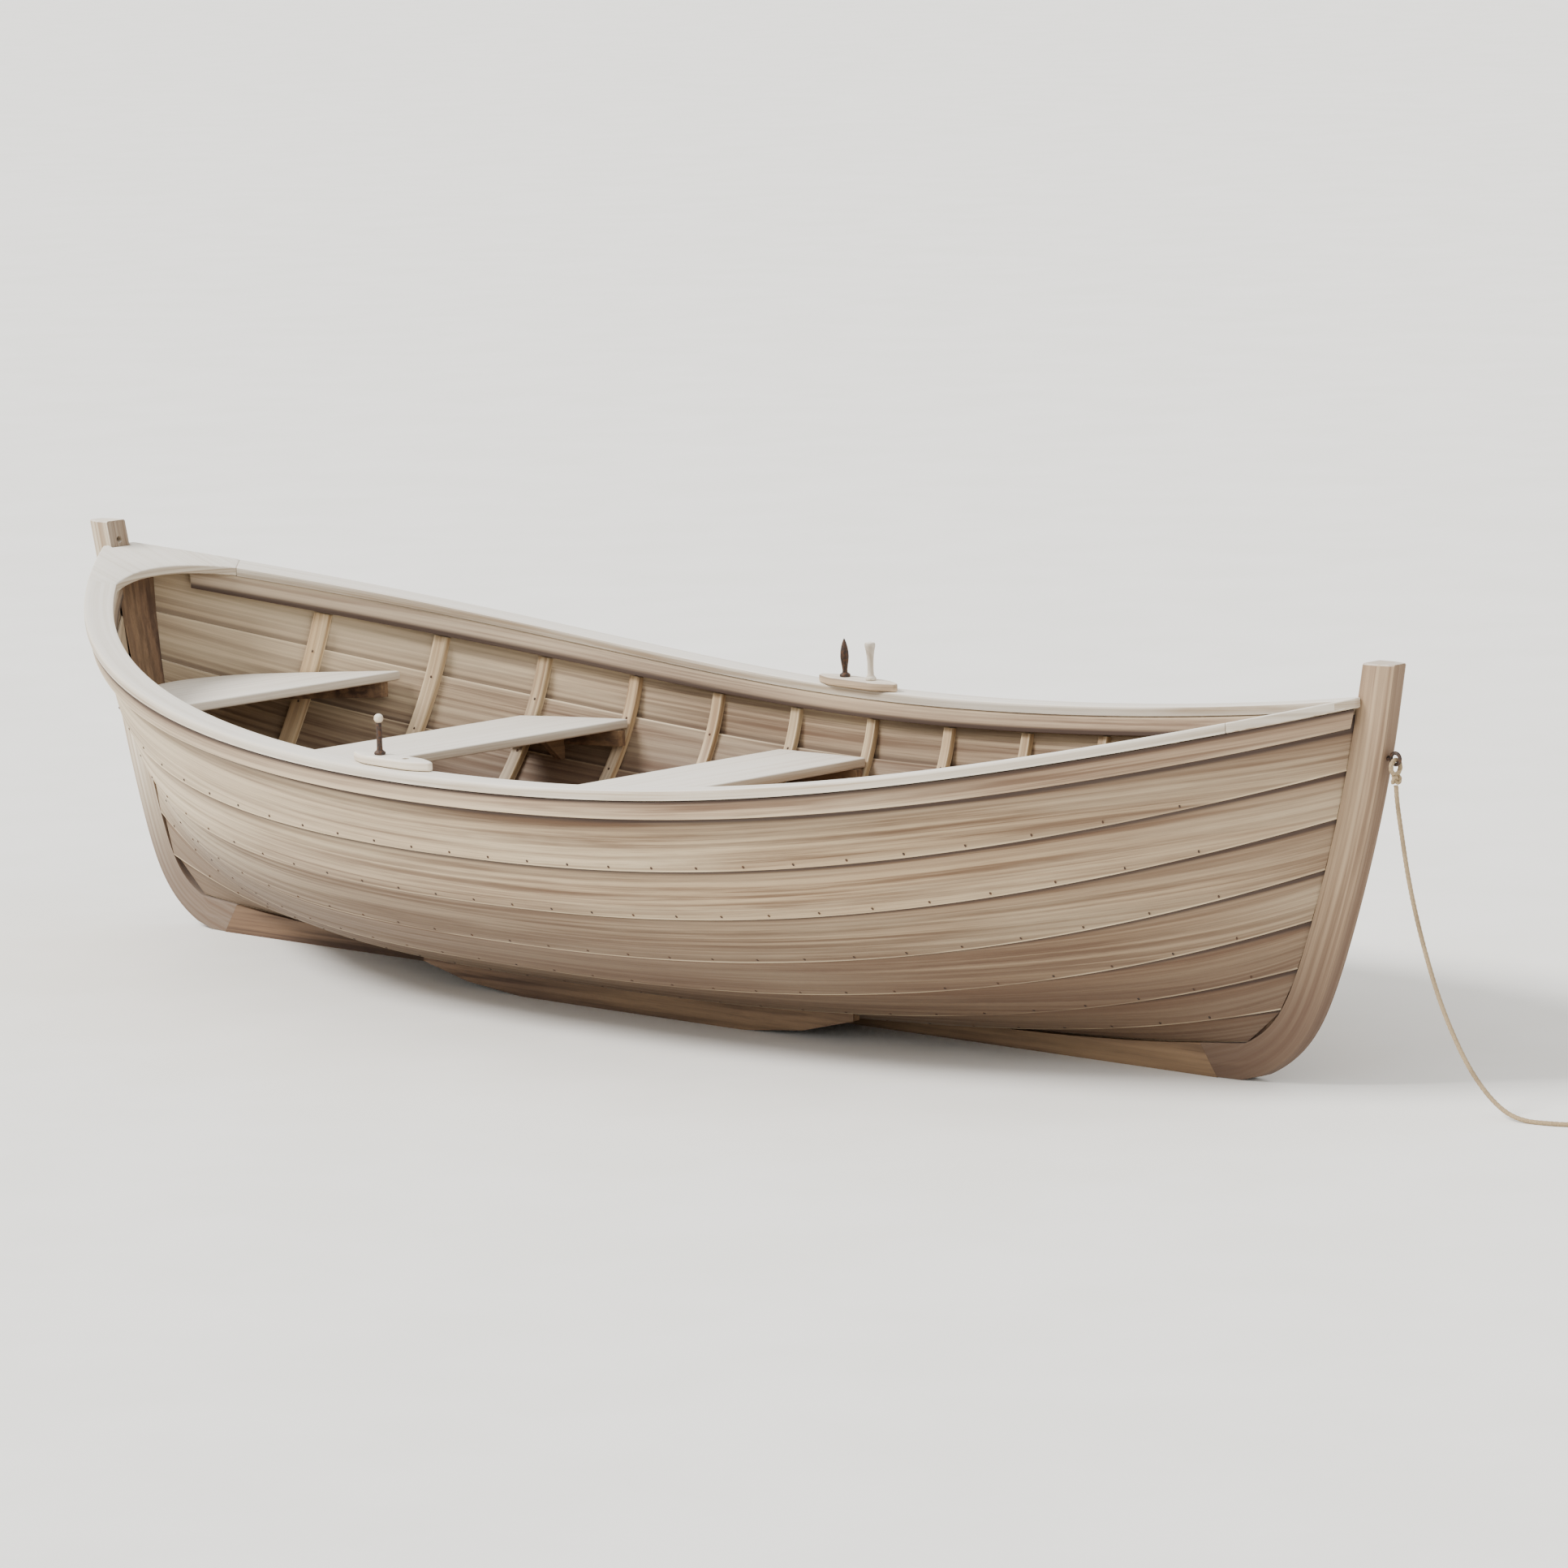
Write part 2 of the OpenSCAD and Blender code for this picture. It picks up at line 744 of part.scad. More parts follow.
module rubbing_strake(side) {
    color(warm_wood)
    on_side(side)
    loft([for (t = concat([-rub_end], [for (s = stations) if (abs(s) < 0.99) s], [rub_end]))
        let (
            n = strake_count - 1,
            width = girth(t) * (1 - lands[n]),
            low = strake_face(n, t, 1 - rub_depth / width, rub_gap),
            out = sheer_out(t) * rub_thick,
            slope = sheer_at(low.x + out.x) - sheer_at(low.x)
        )
        [
            low,
            rail_point(t, plank_thick + rub_gap, 0, gap),
            rail_point(t, plank_thick + rub_gap, rub_thick, gap),
            low + out + [0, 0, slope]
        ]]);
}

hole_radius = pin_radius + pin_clearance;
// How far forward of the rowing thwart's middle the tholes stand
thole_lead = 80;
thole_x = rowing_x + thole_lead;
// How far the tholes stand inboard of the inwale's middle
thole_inset = 3;
thole_y = skin_at(thole_x, 1, 0).y - gap - inwale_thick / 2 - thole_inset;
thole_xs = [thole_x - thole_gap / 2, thole_x + thole_gap / 2];

module thole_holes() {
    for (x = thole_xs)
        translate([x, thole_y, sheer_at(x) - 3 * inwale_depth])
        cylinder(r = hole_radius, h = 6 * inwale_depth, $fn = 48);
}

module inwale(side) {
    color(warm_wood)
    on_side(side)
    difference() {
        loft([for (t = stations)
            let (
                low = strake_back(strake_count - 1, t, sheer_share(t, inwale_depth), 3 * gap),
                inward = -sheer_out(t) * inwale_thick,
                slope = sheer_at(low.x + inward.x) - sheer_at(low.x)
            )
            if (abs(t) <= rail_end) [
                low,
                low + inward + [0, 0, slope],
                rail_point(t, -gap, -inwale_thick, gap),
                rail_point(t, -gap, 0, gap)
            ]]);
        thole_holes();
    }
}

cap_outer = rub_thick + cap_overhang;
cap_inner = inwale_thick + cap_overhang;

module cap(side) {
    color(pale_wood)
    on_side(side)
    difference() {
        loft([for (t = stations)
            if (abs(t) <= cap_end) [
                rail_point(t, 0, -cap_inner, -cap_gap),
                rail_point(t, 0, -cap_inner, -cap_gap - cap_thick),
                rail_point(t, plank_thick, cap_outer, -cap_gap - cap_thick),
                rail_point(t, plank_thick, cap_outer, -cap_gap)
            ]]);
        thole_holes();
    }
}

hook_depth = 62;
hook_clearance = 0.5;

// Flat plate that closes the rails at one end, with a hollow inner edge
module breasthook(side) {
    end = side;
    joint = side * cap_end;
    x_joint = hull_length / 2 * cap_end;
    slope = (sheer_z(end) - sheer_z(joint)) / (hull_length / 2 - x_joint);
    tilt = atan(slope);
    inner = rail_point(joint, 0, -cap_inner, 0);
    outer = [for (t = [cap_end, 0.95, 0.98, rub_end]) rail_point(side * t, plank_thick, cap_outer, 0)];
    half = inner.y;
    steps = 8;
    x_in = abs(inner.x) + hook_clearance;
    hollow = [for (i = [0 : steps])
        let (y = mix(half, -half, i / steps))
        [x_in + hook_depth * (1 - pow(y / half, 2)), y]];
    x_stem = hull_length / 2;
    cheek = keel_width / 2 + hook_clearance;
    port = concat(
        [for (p = outer) [abs(p.x) + (p == outer[0] ? hook_clearance : 0), p.y]],
        [[abs(outer[3].x), cheek], [x_stem, cheek]]
    );
    starboard = [for (i = [len(port) - 1 : -1 : 0]) [port[i].x, -port[i].y]];
    plan = concat(port, starboard, [for (i = [steps : -1 : 0]) hollow[i]]);
    mirror([side > 0 ? 0 : 1, 0, 0])
    intersection() {
        linear_extrude(2 * sheer_z(end))
        polygon(plan);
        translate([x_joint, 0, sheer_z(joint) + cap_gap])
        rotate([0, -tilt, 0])
        translate([-hull_beam / 2, -hull_beam / 2, 0])
        cube([hull_beam, hull_beam, cap_thick * cos(tilt)]);
    }
}

module bow_breasthook() {
    color(pale_wood) breasthook(1);
}

module stern_breasthook() {
    color(pale_wood) breasthook(-1);
}

/* Tholes */

function cap_top(x) = sheer_at(x) + cap_gap + cap_thick;
pad_back = thole_x - pad_length / 2;
pad_front = thole_x + pad_length / 2;
pad_tilt = atan((cap_top(pad_front) - cap_top(pad_back)) / pad_length);
pad_bottom = (cap_top(pad_front) + cap_top(pad_back)) / 2 + gap;
pad_top = pad_bottom + pad_thick;
pad_point = 52;

module thole_pad(side) {
    color(pale_wood)
    on_side(side)
    difference() {
        translate([thole_x, thole_y, pad_bottom])
        rotate([0, -pad_tilt, 0])
        linear_extrude(pad_thick)
        polygon([
            [-pad_length / 2, -6], [-pad_length / 2, 6],
            [-pad_length / 2 + pad_point, pad_width / 2], [pad_length / 2 - pad_point, pad_width / 2],
            [pad_length / 2, 6], [pad_length / 2, -6],
            [pad_length / 2 - pad_point, -pad_width / 2], [-pad_length / 2 + pad_point, -pad_width / 2]
        ]);
        thole_holes();
    }
}

shank_length = pad_thick + cap_thick + inwale_depth - 8;
collar_radius = 13;
collar_height = 6;

// Outline of a thole pin: shank, collar, waist and head
function pin_outline(waist, head, tip) = [
    [0, -shank_length], [pin_radius - 2, -shank_length], [pin_radius, -shank_length + 4],
    [pin_radius, 0], [collar_radius, 0], [collar_radius, collar_height],
    [waist, collar_height + 6], [waist, pin_height * 0.7],
    [head, pin_height * 0.86], [tip, pin_height], [0, pin_height]
];

module thole(side, which, waist, head, tip) {
    x = thole_xs[which];
    seat_z = pad_top + (x - thole_x) * tan(pad_tilt) + collar_radius * abs(tan(pad_tilt)) + gap;
    on_side(side)
    translate([x, thole_y, seat_z])
    rotate_extrude($fn = 48)
    polygon(pin_outline(waist, head, tip));
}

module port_after_thole() {
    color(iron) thole("port", 0, 9, 7, 2);
}

module port_forward_thole() {
    color(pale_wood) thole("port", 1, 8, 13, 11);
}

module starboard_after_thole() {
    color(iron) thole("starboard", 0, 7.5, 11, 8);
}

/* Painter */

nut_radius = 9;
nut_height = 8;
washer_radius = 14;
washer_thick = 2.5;
apron_back = abs(skin(0.98, eye_u, 0).x);
washer_gap = 2.5;

// Eye bolt through the stem and the apron, with its washer and nut
module eye_bolt() {
    color(iron)
    union() {
        translate([eye_x, 0, eye_z])
        rotate([90, 0, 0])
        rotate_extrude($fn = 48)
        translate([eye_radius, 0])
        circle(r = eye_bar, $fn = 24);
        translate([eye_x - eye_radius, 0, eye_z])
        rotate([0, -90, 0])
        cylinder(r = bolt_radius, h = eye_x - eye_radius - apron_back + washer_gap + nut_height + 6,
            $fn = 48);
        translate([apron_back - washer_gap, 0, eye_z])
        rotate([0, -90, 0]) {
            cylinder(r = washer_radius, h = washer_thick, $fn = 48);
            cylinder(r = nut_radius, h = washer_thick + nut_height, $fn = 6);
        }
    }
}

bend_radius = 15;
bend_z = eye_z - eye_radius + eye_bar + 0.4 - (bend_radius - rope_size / 2);
knot_radius = 13;

// Loop of the painter through the eye, with its knot under it
module painter_bend() {
    color(rope)
    union() {
        translate([eye_x, 0, bend_z])
        rotate([0, 90, 0])
        rotate_extrude($fn = 48)
        translate([bend_radius, 0])
        circle(r = rope_size / 2, $fn = 24);
        translate([eye_x, 0, bend_z - bend_radius - knot_radius + 2])
        sphere(r = knot_radius, $fn = 32);
    }
}

// The painter's route, from its knot at the bow down to the ground and along it to the coil
route = [
    [2080, 0, 669], [2083, 0, 630], [2094, 0, 560], [2110, -2, 480], [2132, -5, 400],
    [2161, -10, 320], [2196, -16, 240], [2238, -22, 165], [2285, -28, 100], [2335, -32, 50],
    [2385, -34, 18], [2435, -34, 6], [2490, -26, 5], [2545, -4, 5], [2590, 36, 5],
    [2620, 90, 5], [2634, 150, 5], [2632, 210, 5], [2616, 262, 5]
];
coil_centre = [2560, 245];
coil_mid = 58;
coil_wide = 20;
coil_tall = 40;

// Unit direction of the route at point i
function route_dir(i) =
    let (d = route[min(i + 1, len(route) - 1)] - route[max(i - 1, 0)])
    d / norm(d);

module painter() {
    sides = 8;
    color(rope)
    loft([for (i = [0 : len(route) - 1])
        let (
            along = route_dir(i),
            across = cross(along, [0, -1, 0]) / norm(cross(along, [0, -1, 0])),
            up = cross(across, along)
        )
        [for (s = [0 : sides - 1])
            route[i] + rope_size / 2 * (cos(360 * s / sides) * across + sin(360 * s / sides) * up)]]);
}

// Outer shape of the neat round coil
module painter_coil() {
    color(rope)
    translate([coil_centre.x, coil_centre.y, 0])
    rotate_extrude($fn = 64)
    translate([coil_mid - coil_wide / 2, 0])
    square([coil_wide, coil_tall]);
}

keel();
hog();
stem();
stern_post();
bow_apron();
stern_apron();
strake("port", 0);  // port_strake_1
strake("port", 1);  // port_strake_2
strake("port", 2);  // port_strake_3
strake("port", 3);  // port_strake_4
strake("port", 4);  // port_strake_5
strake("port", 5);  // port_strake_6
strake("port", 6);  // port_strake_7
strake("starboard", 0);  // starboard_strake_1
strake("starboard", 1);  // starboard_strake_2
strake("starboard", 2);  // starboard_strake_3
strake("starboard", 3);  // starboard_strake_4
strake("starboard", 4);  // starboard_strake_5
strake("starboard", 5);  // starboard_strake_6
strake("starboard", 6);  // starboard_strake_7
rubbing_strake("port");  // port_rubbing_strake
rubbing_strake("starboard");  // starboard_rubbing_strake
inwale("port");  // port_inwale
inwale("starboard");  // starboard_inwale
cap("port");  // port_cap
cap("starboard");  // starboard_cap
bow_breasthook();
stern_breasthook();
rib(1);  // rib_1
rib(2);  // rib_2
rib(3);  // rib_3
rib(4);  // rib_4
rib(5);  // rib_5
rib(6);  // rib_6
rib(7);  // rib_7
rib(8);  // rib_8
rib(9);  // rib_9
rib(10);  // rib_10
rib(11);  // rib_11
rib(12);  // rib_12
rib(13);  // rib_13
seat_bearers();
stern_sheets();
after_thwart();
rowing_thwart();
thwart_knees();
floor_boards();
bilge_keels();
thole_pad("port");  // port_thole_pad
thole_pad("starboard");  // starboard_thole_pad
port_after_thole();
port_forward_thole();
starboard_after_thole();
eye_bolt();
painter();
painter_coil();
painter_bend();
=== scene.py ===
"""Looks of a clinker-built rowing boat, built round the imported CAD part.

Metres, in the part's own frame: +X is the bow, +Y is port, +Z is up, and the keel stands on
z = 0. A place on the hull is given by t, from -1 at the stern post to 1 at the stem, and by
u, from 0 at the keel to 1 at the sheer, as in the CAD source.
"""

import math

import bmesh
import bpy
import numpy as np
from mathutils import Matrix, Quaternion, Vector


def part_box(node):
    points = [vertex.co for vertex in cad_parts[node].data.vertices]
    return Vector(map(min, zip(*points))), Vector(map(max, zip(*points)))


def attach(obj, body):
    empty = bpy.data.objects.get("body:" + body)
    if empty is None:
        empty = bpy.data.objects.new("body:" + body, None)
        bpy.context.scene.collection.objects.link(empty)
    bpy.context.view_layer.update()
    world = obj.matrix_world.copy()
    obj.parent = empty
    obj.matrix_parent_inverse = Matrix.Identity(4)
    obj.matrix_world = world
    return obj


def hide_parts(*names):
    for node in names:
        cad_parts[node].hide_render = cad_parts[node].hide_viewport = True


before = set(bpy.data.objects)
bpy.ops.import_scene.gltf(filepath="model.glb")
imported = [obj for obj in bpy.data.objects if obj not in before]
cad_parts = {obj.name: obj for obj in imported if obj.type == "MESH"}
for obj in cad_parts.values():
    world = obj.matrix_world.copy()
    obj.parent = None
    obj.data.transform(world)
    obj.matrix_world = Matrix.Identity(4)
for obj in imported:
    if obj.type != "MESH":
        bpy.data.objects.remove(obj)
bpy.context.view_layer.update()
rng = np.random.default_rng(11)

# ---------------- sizes of the hull

HULL_LENGTH = 4.0
HULL_BEAM = 1.54
SHEER_HEIGHT = 0.595
BOW_RISE = 0.233
STERN_RISE = 0.317
BOW_SWEEP = 0.304
STERN_SWEEP = 0.237
PLANK = 0.009
LAND_WIDTH = 0.020
KEEL_DEPTH = 0.045
KEEL_WIDTH = 0.060
STEM_DEPTH = 0.078
STEM_NOSE = 0.040
BOW_HEAD = 0.097
STERN_HEAD = 0.085
HEAD_REACH = 0.098
HOG_WIDTH = 0.110
HOG_THICK = 0.018
RIB_WIDTH = 0.028
RIB_THICK = 0.016
RIB_SPACING = 0.250
FIRST_RIB = -1.650
RIB_COUNT = 13
BOARD_WIDTH = 0.096
BOARD_THICK = 0.012
BOARD_GAP = 0.014
BOARD_REACH = (1.080, 0.900, 0.620)
INWALE_THICK = 0.030
INWALE_DEPTH = 0.050
RUB_THICK = 0.024
RUB_DEPTH = 0.046
CAP_THICK = 0.022
CAP_OVERHANG = 0.005
SEAT_THICK = 0.024
THWART_WIDTH = 0.280
ROWING_HEIGHT = 0.462
AFTER_HEIGHT = 0.505
SHEETS_HEIGHT = 0.610
SHEETS_FRONT = -1.460
SHEETS_BACK = -1.740
SHEETS_BULGE = 0.070
HOOK_DEPTH = 0.062
PAD_LENGTH = 0.250
PAD_WIDTH = 0.058
PAD_THICK = 0.020
PAD_POINT = 0.052
PIN_RADIUS = 0.008
PIN_HEIGHT = 0.092
SHANK_LENGTH = 0.084
HOLE_RADIUS = 0.0083
THOLE_LEAD = 0.080
THOLE_GAP = 0.085
HEAD_HOLE_RADIUS = 0.008
HEAD_HOLE_DROP = 0.047
ROPE_SIZE = 0.010

# Curves of the hull, with the CAD source's names: lengths, an angle and powers
BOW_FULLNESS = 3.67
STERN_FULLNESS = 3.38
BOW_BLEND = 2.15
STERN_BLEND = 3.04
SHEER_POWER = 2.06
BOW_SWEEP_ABOVE = 0.172
STERN_SWEEP_ABOVE = 0.038
SWEEP_POWER = 1.5
FOREFOOT_REACH = 0.080
FOREFOOT_HEIGHT = 0.045
BILGE_ANGLE = math.radians(86)
ROCKER = 0.040
ROCKER_POWER = 4

# Clench nails: stations along the lands, where they stop, and the heads
NAIL_STATIONS = np.arange(-1.775, 1.80, 0.125)
LAST_NAIL = 0.97
NAIL_RADIUS = 0.0036
NAIL_HEIGHT = 0.0011

# The scarf of stem and keel: how far in it and the foot begin, and its slope
SCARF_BACK = 0.110
FOOT_BACK = 0.020
SCARF_LEAN = 0.030

# Clearances
SEAT_GAP = 0.0006
HOOK_GAP = 0.0005
FOOT_GAP = 0.0012
RUB_GAP = 0.0018
HOG_GAP = 0.0032

HAND = {"port": 1, "starboard": -1}

GAP = 0.0004
SEAM_Y = PLANK + 0.003
LAP_OUT = PLANK + GAP
RAIL_END = 0.95
CAP_END = 0.91
RUB_END = 0.996
CAP_GAP = 0.0006
CAP_OUTER = RUB_THICK + CAP_OVERHANG
CAP_INNER = INWALE_THICK + CAP_OVERHANG
LANDS = (0, 0.11, 0.235, 0.38, 0.53, 0.68, 0.82, 1)
STRAKES = len(LANDS) - 1
# Mark of a corner that is near no edge or lap
FAR = 0.5
# How near the drill a corner lies that the drill has made
RIM_MARGIN = 0.0005
# Through anything it is put to
DRILL_LENGTH = 0.4
# Half the step that slopes are measured over
NUDGE = 0.004
GRAIN_SHIFT = 60
# End grain is laid this much closer than the grain along a piece
END_GRAIN = 0.12

# ---------------- shape of the hull


def mix(a, b, share):
    return a + (b - a) * share


def side_of(t):
    return np.where(np.asarray(t) > 0, 1.0, -1.0)


def at_end(t, bow, stern):
    return np.where(np.asarray(t) > 0, bow, stern)


def sheer_z(t):
    return SHEER_HEIGHT + at_end(t, BOW_RISE, STERN_RISE) * np.abs(t) ** SHEER_POWER


def rabbet_z(t):
    return KEEL_DEPTH + ROCKER * np.abs(t) ** ROCKER_POWER


def sheer_y(t):
    fullness = at_end(t, BOW_FULLNESS, STERN_FULLNESS)
    return SEAM_Y + (HULL_BEAM / 2 - SEAM_Y) * (1 - np.abs(t) ** fullness)


def sweep_at(side, z):
    """How far the ends of the planking lie inboard at height z."""
    top = sheer_z(side) + at_end(side, BOW_SWEEP_ABOVE, STERN_SWEEP_ABOVE)
    foot = np.clip(z - rabbet_z(side), 0, SHEER_HEIGHT)
    share = np.clip(1 - z / top, 0, 1) ** SWEEP_POWER
    forefoot = FOREFOOT_REACH * np.exp(-foot / FOREFOOT_HEIGHT)
    return at_end(side, BOW_SWEEP, STERN_SWEEP) * share + forefoot


def reach(side, u):
    z = mix(rabbet_z(side), sheer_z(side), u)
    return HULL_LENGTH / 2 - sweep_at(side, z) + sweep_at(side, sheer_z(side))


def hull_point(t, u):
    t, u = np.broadcast_arrays(np.asarray(t, float), np.asarray(u, float))
    angle = u * BILGE_ANGLE
    out = np.sin(angle) / math.sin(BILGE_ANGLE)
    up = (1 - np.cos(angle)) / (1 - math.cos(BILGE_ANGLE))
    straight = np.abs(t) ** at_end(t, BOW_BLEND, STERN_BLEND)
    return np.stack(
        [
            t * reach(side_of(t), u),
            SEAM_Y + (sheer_y(t) - SEAM_Y) * mix(out, u, straight),
            rabbet_z(t) + (sheer_z(t) - rabbet_z(t)) * mix(up, u, straight),
        ],
        axis=-1,
    )


def hull_out(t, u):
    along = hull_point(t, np.asarray(u) + NUDGE) - hull_point(t, np.asarray(u) - NUDGE)
    size = np.hypot(along[..., 1], along[..., 2])
    zero = np.zeros_like(size)
    return np.stack([zero, along[..., 2] / size, -along[..., 1] / size], axis=-1)


def skin(t, u, out):
    return hull_point(t, u) + np.asarray(out)[..., None] * hull_out(t, u)


def skin_at(x, u, out):
    return skin(x / reach(side_of(x), u), u, out)


def girth(t):
    points = [hull_point(t, n / 6) for n in range(7)]
    return sum(np.linalg.norm(b - a, axis=-1) for a, b in zip(points, points[1:]))


def land_share(t):
    return LAND_WIDTH / girth(t)


def strake_top(n, t):
    return np.ones_like(t) if n == STRAKES - 1 else LANDS[n + 1] + land_share(t)


def lap_in(n, t):
    return LAP_OUT * (1 - land_share(t) / (strake_top(n, t) - LANDS[n]))


def strake_face(n, t, share, out=0.0):
    """A point of strake n's outer face, a share of the way up it."""
    low = (PLANK if n == 0 else LAP_OUT + PLANK) + out
    return mix(skin(t, LANDS[n], low), skin(t, LANDS[n + 1], PLANK + out), share)


def sheer_at(x):
    return sheer_z(np.asarray(x, float) / (HULL_LENGTH / 2))


def sheer_out(t):
    """Outward level direction of the sheer."""
    t = np.asarray(t, float)
    along = hull_point(np.minimum(t + NUDGE, 1), 1) - hull_point(np.maximum(t - NUDGE, -1), 1)
    size = np.hypot(along[..., 0], along[..., 1])
    zero = np.zeros_like(size)
    return np.stack([-along[..., 1] / size, along[..., 0] / size, zero], axis=-1)


def rail_point(t, edge, out, drop):
    """A point level with the sheer, out from the planking's top edge."""
    p = skin(t, 1, edge) + out * sheer_out(t)
    return np.stack([p[..., 0], p[..., 1], sheer_at(p[..., 0]) - drop], axis=-1)


def stations(end=1.0):
    """Values of t that crowd towards the ends, where the hull curves most."""
    return np.sin(np.linspace(-1, 1, 97) * math.pi / 2) * end


# ---------------- mesh building


def placed(name, data):
    """A new object in the scene."""
    made = bpy.data.objects.new(name, data)
    bpy.context.scene.collection.objects.link(made)
    return made


def mesh_of(bm, name):
    mesh = bpy.data.meshes.new(name)
    bm.to_mesh(mesh)
    bm.free()
    return mesh


def add_piece(name, mesh, material, slot, *replaces, body="hull"):
    piece = placed(name, mesh)
    mesh.materials.clear()
    mesh.materials.append(material)
    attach(piece, body)
    if replaces:
        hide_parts(*replaces)
    return piece


def set_marks(mesh, edge=FAR, lap=FAR, inside=0.0):
    """Marks that the woods read: how far edges and laps are, which side it is, and a tone."""
    values = (edge, lap, inside, rng.uniform(0, 1))
    for name, data in zip(("edge", "lap", "inside", "tone"), values):
        layer = mesh.attributes.new(name, "FLOAT", "POINT")
        layer.data.foreach_set("value", np.broadcast_to(data, len(mesh.vertices)).astype("f"))


def face_outward(mesh):
    bm = bmesh.new()
    bm.from_mesh(mesh)
    bmesh.ops.recalc_face_normals(bm, faces=bm.faces)
    bm.to_mesh(mesh)
    bm.free()


def smooth(mesh):
    mesh.shade_smooth()
    mesh.set_sharp_from_angle(angle=math.radians(38))


def loft_mesh(name, rings, edge=FAR, lap=FAR, inside=0.0):
    """One closed skin through rings of points, with its grain laid along it."""
    rings = np.asarray(rings, float)
    count, size = rings.shape[:2]
    corner = np.arange(count * size).reshape(count, size)
    nxt = np.roll(corner, -1, axis=1)
    quads = np.stack([corner[:-1], nxt[:-1], nxt[1:], corner[1:]], axis=-1).reshape(-1, 4)
    faces = quads.tolist() + [corner[0].tolist(), corner[-1][::-1].tolist()]
    mesh = bpy.data.meshes.new(name)
    mesh.from_pydata(rings.reshape(-1, 3).tolist(), [], faces)

    step = np.linalg.norm(np.diff(rings.mean(axis=1), axis=0), axis=1)
    along = np.concatenate([[0], np.cumsum(step)])
    around = np.linalg.norm(np.roll(rings, -1, axis=1) - rings, axis=2)
    around = np.concatenate([np.zeros((count, 1)), np.cumsum(around, axis=1)], axis=1)
    shift = rng.uniform(0, GRAIN_SHIFT, 2)
    u = np.broadcast_to(along[:, None], (count, size + 1)) + shift[0]
    v = around + shift[1]
    grid = np.stack([u, v], axis=-1)
    quad_uv = np.stack([grid[:-1, :-1], grid[:-1, 1:], grid[1:, 1:], grid[1:, :-1]], axis=2)
    cap_uv = [rings[k][:, [1, 2]] * (END_GRAIN, 1) for k in (0, -1)]
    uv = np.concatenate([quad_uv.reshape(-1, 2), cap_uv[0], cap_uv[1][::-1]])
    mesh.uv_layers.new(name="Grain").uv.foreach_set("vector", uv.astype("f").ravel())
    marks = [np.broadcast_to(mark, (count, size)).ravel() for mark in (edge, lap, inside)]
    set_marks(mesh, *marks)
    face_outward(mesh)
    smooth(mesh)
    return mesh


def soften(rings, radii, marks):
    """Rounds the corners of each ring, and says how far each new point is from a corner.

    marks is a list of values per corner, which are carried along the edges."""
    rings = np.asarray(rings, float)
    marks = [np.broadcast_to(m, rings.shape[:2]) for m in marks]
    points, edges, carried = [], [], [[] for _ in marks]

    def add(point, edge, values):
        points.append(point)
        edges.append(np.full(len(point), edge))
        for store, value in zip(carried, values):
            store.append(value)

    size = rings.shape[1]
    for i in range(size):
        here = rings[:, i]
        if radii[i] == 0:
            add(here, FAR, [m[:, i] for m in marks])
            continue
        turns = []
        for j in (i - 1, (i + 1) % size):
            way = rings[:, j] - here
            length = np.linalg.norm(way, axis=1)
            for span, limit in ((3 * radii[i], 0.45), (radii[i], 0.3)):
                share = np.minimum(span / np.maximum(length, 1e-9), limit)
                values = [m[:, i] + (m[:, j] - m[:, i]) * share for m in marks]
                turns.append((here + way * share[:, None], values))
        guard, start, last, end = turns[0], turns[1], turns[2], turns[3]
        add(guard[0], 3 * radii[i], guard[1])
        add(start[0], 0.5 * radii[i], start[1])
        add(0.25 * start[0] + 0.5 * here + 0.25 * end[0], 0.0, [m[:, i] for m in marks])
        add(end[0], 0.5 * radii[i], end[1])
        add(last[0], 3 * radii[i], last[1])
    stack = lambda items: np.stack(items, axis=1)
    return stack(points), stack(edges), [stack(c) for c in carried]


def rounded_loft(name, rings, radii):
    """A loft through the rings once their corners are rounded, with no laps near it."""
    rings, edge, _ = soften(rings, radii, [FAR])
    return loft_mesh(name, rings, edge)


def mirrored(rings, side):
    return rings * (1, HAND[side], 1)


def box_uv(mesh, grain):
    """Lays the grain along the axis named, on every face."""
    shift = rng.uniform(0, GRAIN_SHIFT, 2)
    others = [k for k in range(3) if k != grain]
    normals = np.empty(len(mesh.polygons) * 3, "f")
    mesh.polygons.foreach_get("normal", normals)
    normals = np.abs(normals.reshape(-1, 3))
    layer = mesh.uv_layers.new(name="Grain")
    for face in mesh.polygons:
        normal = normals[face.index]
        if normal[grain] > 0.8:
            first, second, squeeze = others[0], others[1], END_GRAIN
        else:
            first, squeeze = grain, 1.0
            second = others[0] if normal[others[0]] < normal[others[1]] else others[1]
        for k in face.loop_indices:
            co = mesh.vertices[mesh.loops[k].vertex_index].co
            layer.uv[k].vector = (co[first] * squeeze + shift[0], co[second] + shift[1])


def with_modifier(mesh, kind, **settings):
    """A copy of the mesh with one modifier applied."""
    carrier = placed("carrier", mesh)
    modifier = carrier.modifiers.new("work", kind)
    for name, value in settings.items():
        setattr(modifier, name, value)
    graph = bpy.context.evaluated_depsgraph_get()
    result = bpy.data.meshes.new_from_object(carrier.evaluated_get(graph))
    bpy.data.objects.remove(carrier)
    return result


